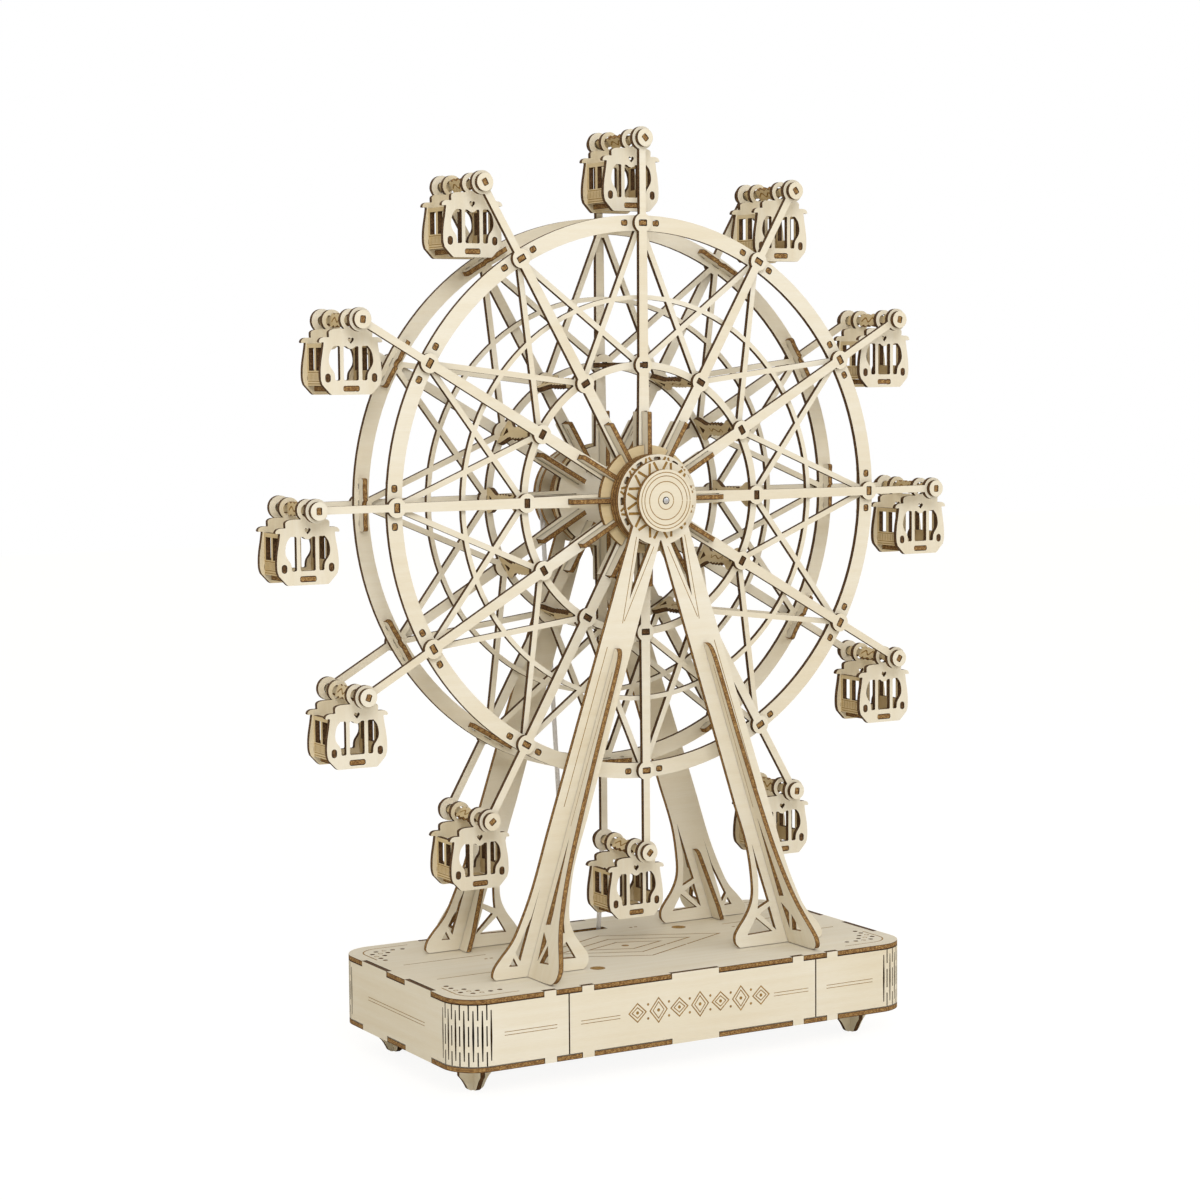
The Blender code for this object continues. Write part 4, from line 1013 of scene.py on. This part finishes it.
def cabin_end(side):
    """An end panel: hanging ring, stepped crown, bulging flanks, windows and a small heart."""
    half = arc(4.2, 90, -52, 14)
    half += flowing([(2.9, -3.4), (5.5, -3.4), (7.6, -3.6), (8.8, -4.2), (9.1, -5.0),
                     (9.0, -6.5)], 2)
    half += flowing([(9.4, -6.6), (11.3, -6.6), (12.6, -7.1), (13.2, -8.1), (12.8, -8.6),
                     (11.4, -8.5), (11.3, -9.2)], 2)
    half += flowing([(11.8, -12.5), (12.4, -16.0), (12.7, -19.5), (12.6, -22.6), (12.0, -24.6)], 3)
    half += [(8.9, -27.9), (8.2, -28.4)]
    outline = half + mirrored(half[1:])
    corners = [(3.1, -22.6), (3.1, -10.4), (2.8, -10.0)]
    lobe = flowing([(1.9, -10.1), (1.0, -10.8), (0.0, -11.1)], 3)
    middle = [(2.7, -23.0), *corners, *lobe]
    middle += mirrored(middle)[1:]
    outer = flowing([(7.0, -9.9), (8.5, -11.8), (9.2, -14.6), (9.1, -16.6), (8.4, -18.1),
                     (7.3, -19.6), (6.8, -21.0), (6.7, -22.6)], 3)
    outer = [(6.3, -23.0), (5.0, -23.0), (4.6, -22.6), (4.6, -10.3), (5.0, -9.9)] + outer
    heart = [(0.0, -9.1), (-1.1, -7.9), (-1.25, -7.2), (-0.7, -6.7), (0.0, -7.2)]
    heart += [(0.7, -6.7), (1.25, -7.2), (1.1, -7.9)]
    holes = [circle(2.6, 24, (0.0, -0.2)), middle, outer, mirrored(outer), heart]
    wall_slot = soft_box(1.15, 1.7, 1.1, (WALL_MIDDLE, WALL_TENON_Z))
    floor_slot = soft_box(3.4, 1.15, 0.8, (0.0, FLOOR_Z))
    holes += [wall_slot, mirrored(wall_slot), floor_slot]
    back, face = side * (CABIN_HALF_DEPTH - PLY), side * CABIN_HALF_DEPTH
    # The inner face takes the lighter painted shade, for the inside of the cabin.
    return cut_sheet(outline, back, face, holes, grain=90.0, lining=PAINTED_SOFT_SHADE)


def side_wall(hand):
    """A wall with two tall windows over a scored band of boarding."""
    reach = CABIN_HALF_DEPTH - PLY
    tenon = [(WALL_TENON_Z - (WALL_BASE + WALL_HEAD) / 2, 3.0, PLY - TENON_SHY)]
    outline = stepped_edge((-reach, WALL_BASE), (-reach, WALL_HEAD), tenon)
    outline += mirrored(outline)
    holes = [box(y - 2.5, y + 2.5, -19.2, -10.5) for y in (-3.4, 3.4)]
    ribs = [(k - (RIBS - 1) / 2) * RIB_PITCH for k in range(RIBS)]
    scores = [box(y - 0.16, y + 0.16, -22.8, -20.2) for y in ribs]
    scores += [box(-6.8, 6.8, z - 0.16, z + 0.16) for z in (-19.8, -23.2, -24.2)]
    inner, outer = (hand * (WALL_MIDDLE + shift) for shift in (-PLY / 2, PLY / 2))
    # Both faces take the deeper painted shade, for the shade in and round the cabin.
    return cut_sheet(outline, inner, outer, holes, scores, axis="X", skin=PAINTED_DEEP_SHADE)


def cabin():
    reach = CABIN_HALF_DEPTH - PLY
    tenon = [(0.0, 6.4, TENON_SHY - PLY)]
    outline = stepped_edge((FLOOR_HALF, reach), (-FLOOR_HALF, reach), tenon)
    outline += stepped_edge((-FLOOR_HALF, -reach), (FLOOR_HALF, -reach), tenon)
    # Both faces take the deeper painted shade, for the shade inside the cabin.
    floor = cut_sheet(outline, FLOOR_Z + PLY / 2, FLOOR_Z - PLY / 2, axis="Z", edge=BROWNED,
                      skin=PAINTED_DEEP_SHADE)
    return [cabin_end(-1), cabin_end(1), side_wall(-1), side_wall(1), floor]


def hanger(lean):
    """A flat rod turned by its lean, scrolled where it is free, and a collar at each end."""
    half = [(20.4, 1.3), (16.1, 1.3)]
    half += flowing([(15.6, 1.9), (14.0, 2.1), (12.0, 2.1), (10.4, 1.9), (9.8, 1.4)], 2)
    half += flowing([(7.1, 1.4), (6.5, 2.2), (5.2, 2.7), (3.6, 2.0), (2.2, 2.7), (0.0, 2.0)], 3)
    upper = half + [(-u, v) for u, v in reversed(half)][1:]
    outline = upper + [(u, -v) for u, v in reversed(upper)]
    wave = flowing([(-5.6, 0.7), (-4.4, -0.9), (-2.0, 0.9), (0.6, -0.9), (3.0, 0.9), (5.6, -0.7)])
    # The rod's plate takes the deeper painted shade on both faces, for the shade it hangs in.
    pieces = [cut_sheet(outline, PLY / 2, -PLY / 2, scores=[stroke(wave, 0.7)], axis="X",
                        edge=BROWNED, skin=PAINTED_DEEP_SHADE)]
    for side in (-1, 1):
        back, face = side * COLLAR_BACK, side * (COLLAR_BACK + PLY)
        eye = soft_box(1.15, 1.45, 0.5)
        pieces.append(cut_sheet(circle(COLLAR_RADIUS, 28), back, face, [eye]))
    turn = Matrix.Rotation(math.radians(lean), 3, "Y")
    for piece in pieces:
        bmesh.ops.rotate(piece, verts=piece.verts, matrix=turn)
    return pieces


for k in range(SPOKES):
    x, z = polar(PIVOT_RADIUS, 90 - k * PITCH)
    place = Matrix.Translation(Vector((x, 0.0, HUB_Z + z)) * MM)
    number = f"{k + 1:02d}"
    cabin_pieces, rod_pieces = cabin(), hanger(ROD_LEANS[k])
    for piece in cabin_pieces + rod_pieces:
        bmesh.ops.transform(piece, matrix=place, verts=piece.verts)
    assembled(f"cabin_{number}", cabin_pieces, f"gondola_{number}", f"gondola_{number}")
    assembled(f"scrolled_rod_{number}", rod_pieces, f"rod_{number}", f"hanger_rod_{number}")

# Studio.
made, start, shader = finish("white_table", 0.9)
speck = start.node("ShaderNodeTexNoise", {"Scale": 40.0, "Detail": 2.0})
stops = [(0.0, (0.92, 0.89, 0.82)), (1.0, (0.94, 0.91, 0.84))]
feed(start, shader, "Base Color", ramp(start, speck, stops))
glow = start.node("ShaderNodeEmission", {"Color": (1.0, 1.0, 1.0, 1.0), "Strength": 1.1})
seen = start.node("ShaderNodeLightPath", output=0)
body_shader = Socket(made.node_tree, shader.outputs[0])
blend = start.node("ShaderNodeMixShader", {0: seen * 0.82, 1: body_shader, 2: glow})
output = next(node for node in made.node_tree.nodes if node.type == "OUTPUT_MATERIAL")
made.node_tree.links.new(blend.source, output.inputs["Surface"])
table = bmesh.new()
bmesh.ops.create_grid(table, x_segments=1, y_segments=1, size=3.0)
mesh = bpy.data.meshes.new("table")
table.to_mesh(mesh)
table.free()
mesh.materials.append(made)
table = bpy.data.objects.new("table", mesh)
bpy.context.collection.objects.link(table)

world = bpy.data.worlds.new("room")
bpy.context.scene.world = world
world.use_nodes = True
air = Socket(world.node_tree)
sky = world.node_tree.nodes["Background"]
rays = [air.node("ShaderNodeLightPath", output=name)
        for name in ("Is Camera Ray", "Is Glossy Ray", "Is Transmission Ray")]
direct = air.maths("MINIMUM", rays[0] + rays[1] + rays[2], 1.0)
air.tree.links.new((direct * 0.38 + 0.62).source, sky.inputs["Strength"])
tint = air.node("ShaderNodeMix", {0: direct, 6: (1.0, 0.94, 0.835, 1.0), 7: (1.0, 1.0, 1.0, 1.0)},
                {"data_type": "RGBA"}, output=2)
air.tree.links.new(tint.source, sky.inputs["Color"])


def lamp(name, place, size, power):
    light = bpy.data.lights.new(name, "AREA")
    light.shape = "DISK"
    light.size = size
    light.energy = power
    light.color = (0.96, 0.975, 1.0)
    holder = bpy.data.objects.new(name, light)
    bpy.context.collection.objects.link(holder)
    holder.location = place
    aim = Vector((0.0, 0.0, 0.18)) - Vector(place)
    holder.rotation_euler = aim.to_track_quat("-Z", "Y").to_euler()


lamp("key", (-0.55, -1.25, 0.95), 0.7, 9.2)
lamp("fill", (0.9, -0.8, 0.9), 0.9, 3.0)

# Camera. A long lens a little over a metre away, to the left of the front and just above the
# wheel's hub, with the slight roll that the photograph has.
AZIMUTH, ELEVATION, ROLL = math.radians(-29.868), math.radians(4.968), math.radians(-0.473)
PLACE = Vector((-0.5627, -0.9613, 0.2799))
toward = Vector((-math.sin(AZIMUTH) * math.cos(ELEVATION), math.cos(AZIMUTH) * math.cos(ELEVATION),
                 -math.sin(ELEVATION)))
right = toward.cross(Vector((0.0, 0.0, 1.0))).normalized()
up = right.cross(toward)
tilted_right = right * math.cos(ROLL) + up * math.sin(ROLL)
tilted_up = up * math.cos(ROLL) - right * math.sin(ROLL)
lens = bpy.data.cameras.new("camera")
lens.sensor_width = 36.0
lens.lens = 82.116
lens.clip_start = 0.05
viewer = bpy.data.objects.new("camera", lens)
bpy.context.collection.objects.link(viewer)
turn = Matrix((tilted_right, tilted_up, -toward)).transposed()
viewer.matrix_world = Matrix.Translation(PLACE) @ turn.to_4x4()
bpy.context.scene.camera = viewer
bpy.context.scene.view_settings.view_transform = "Standard"
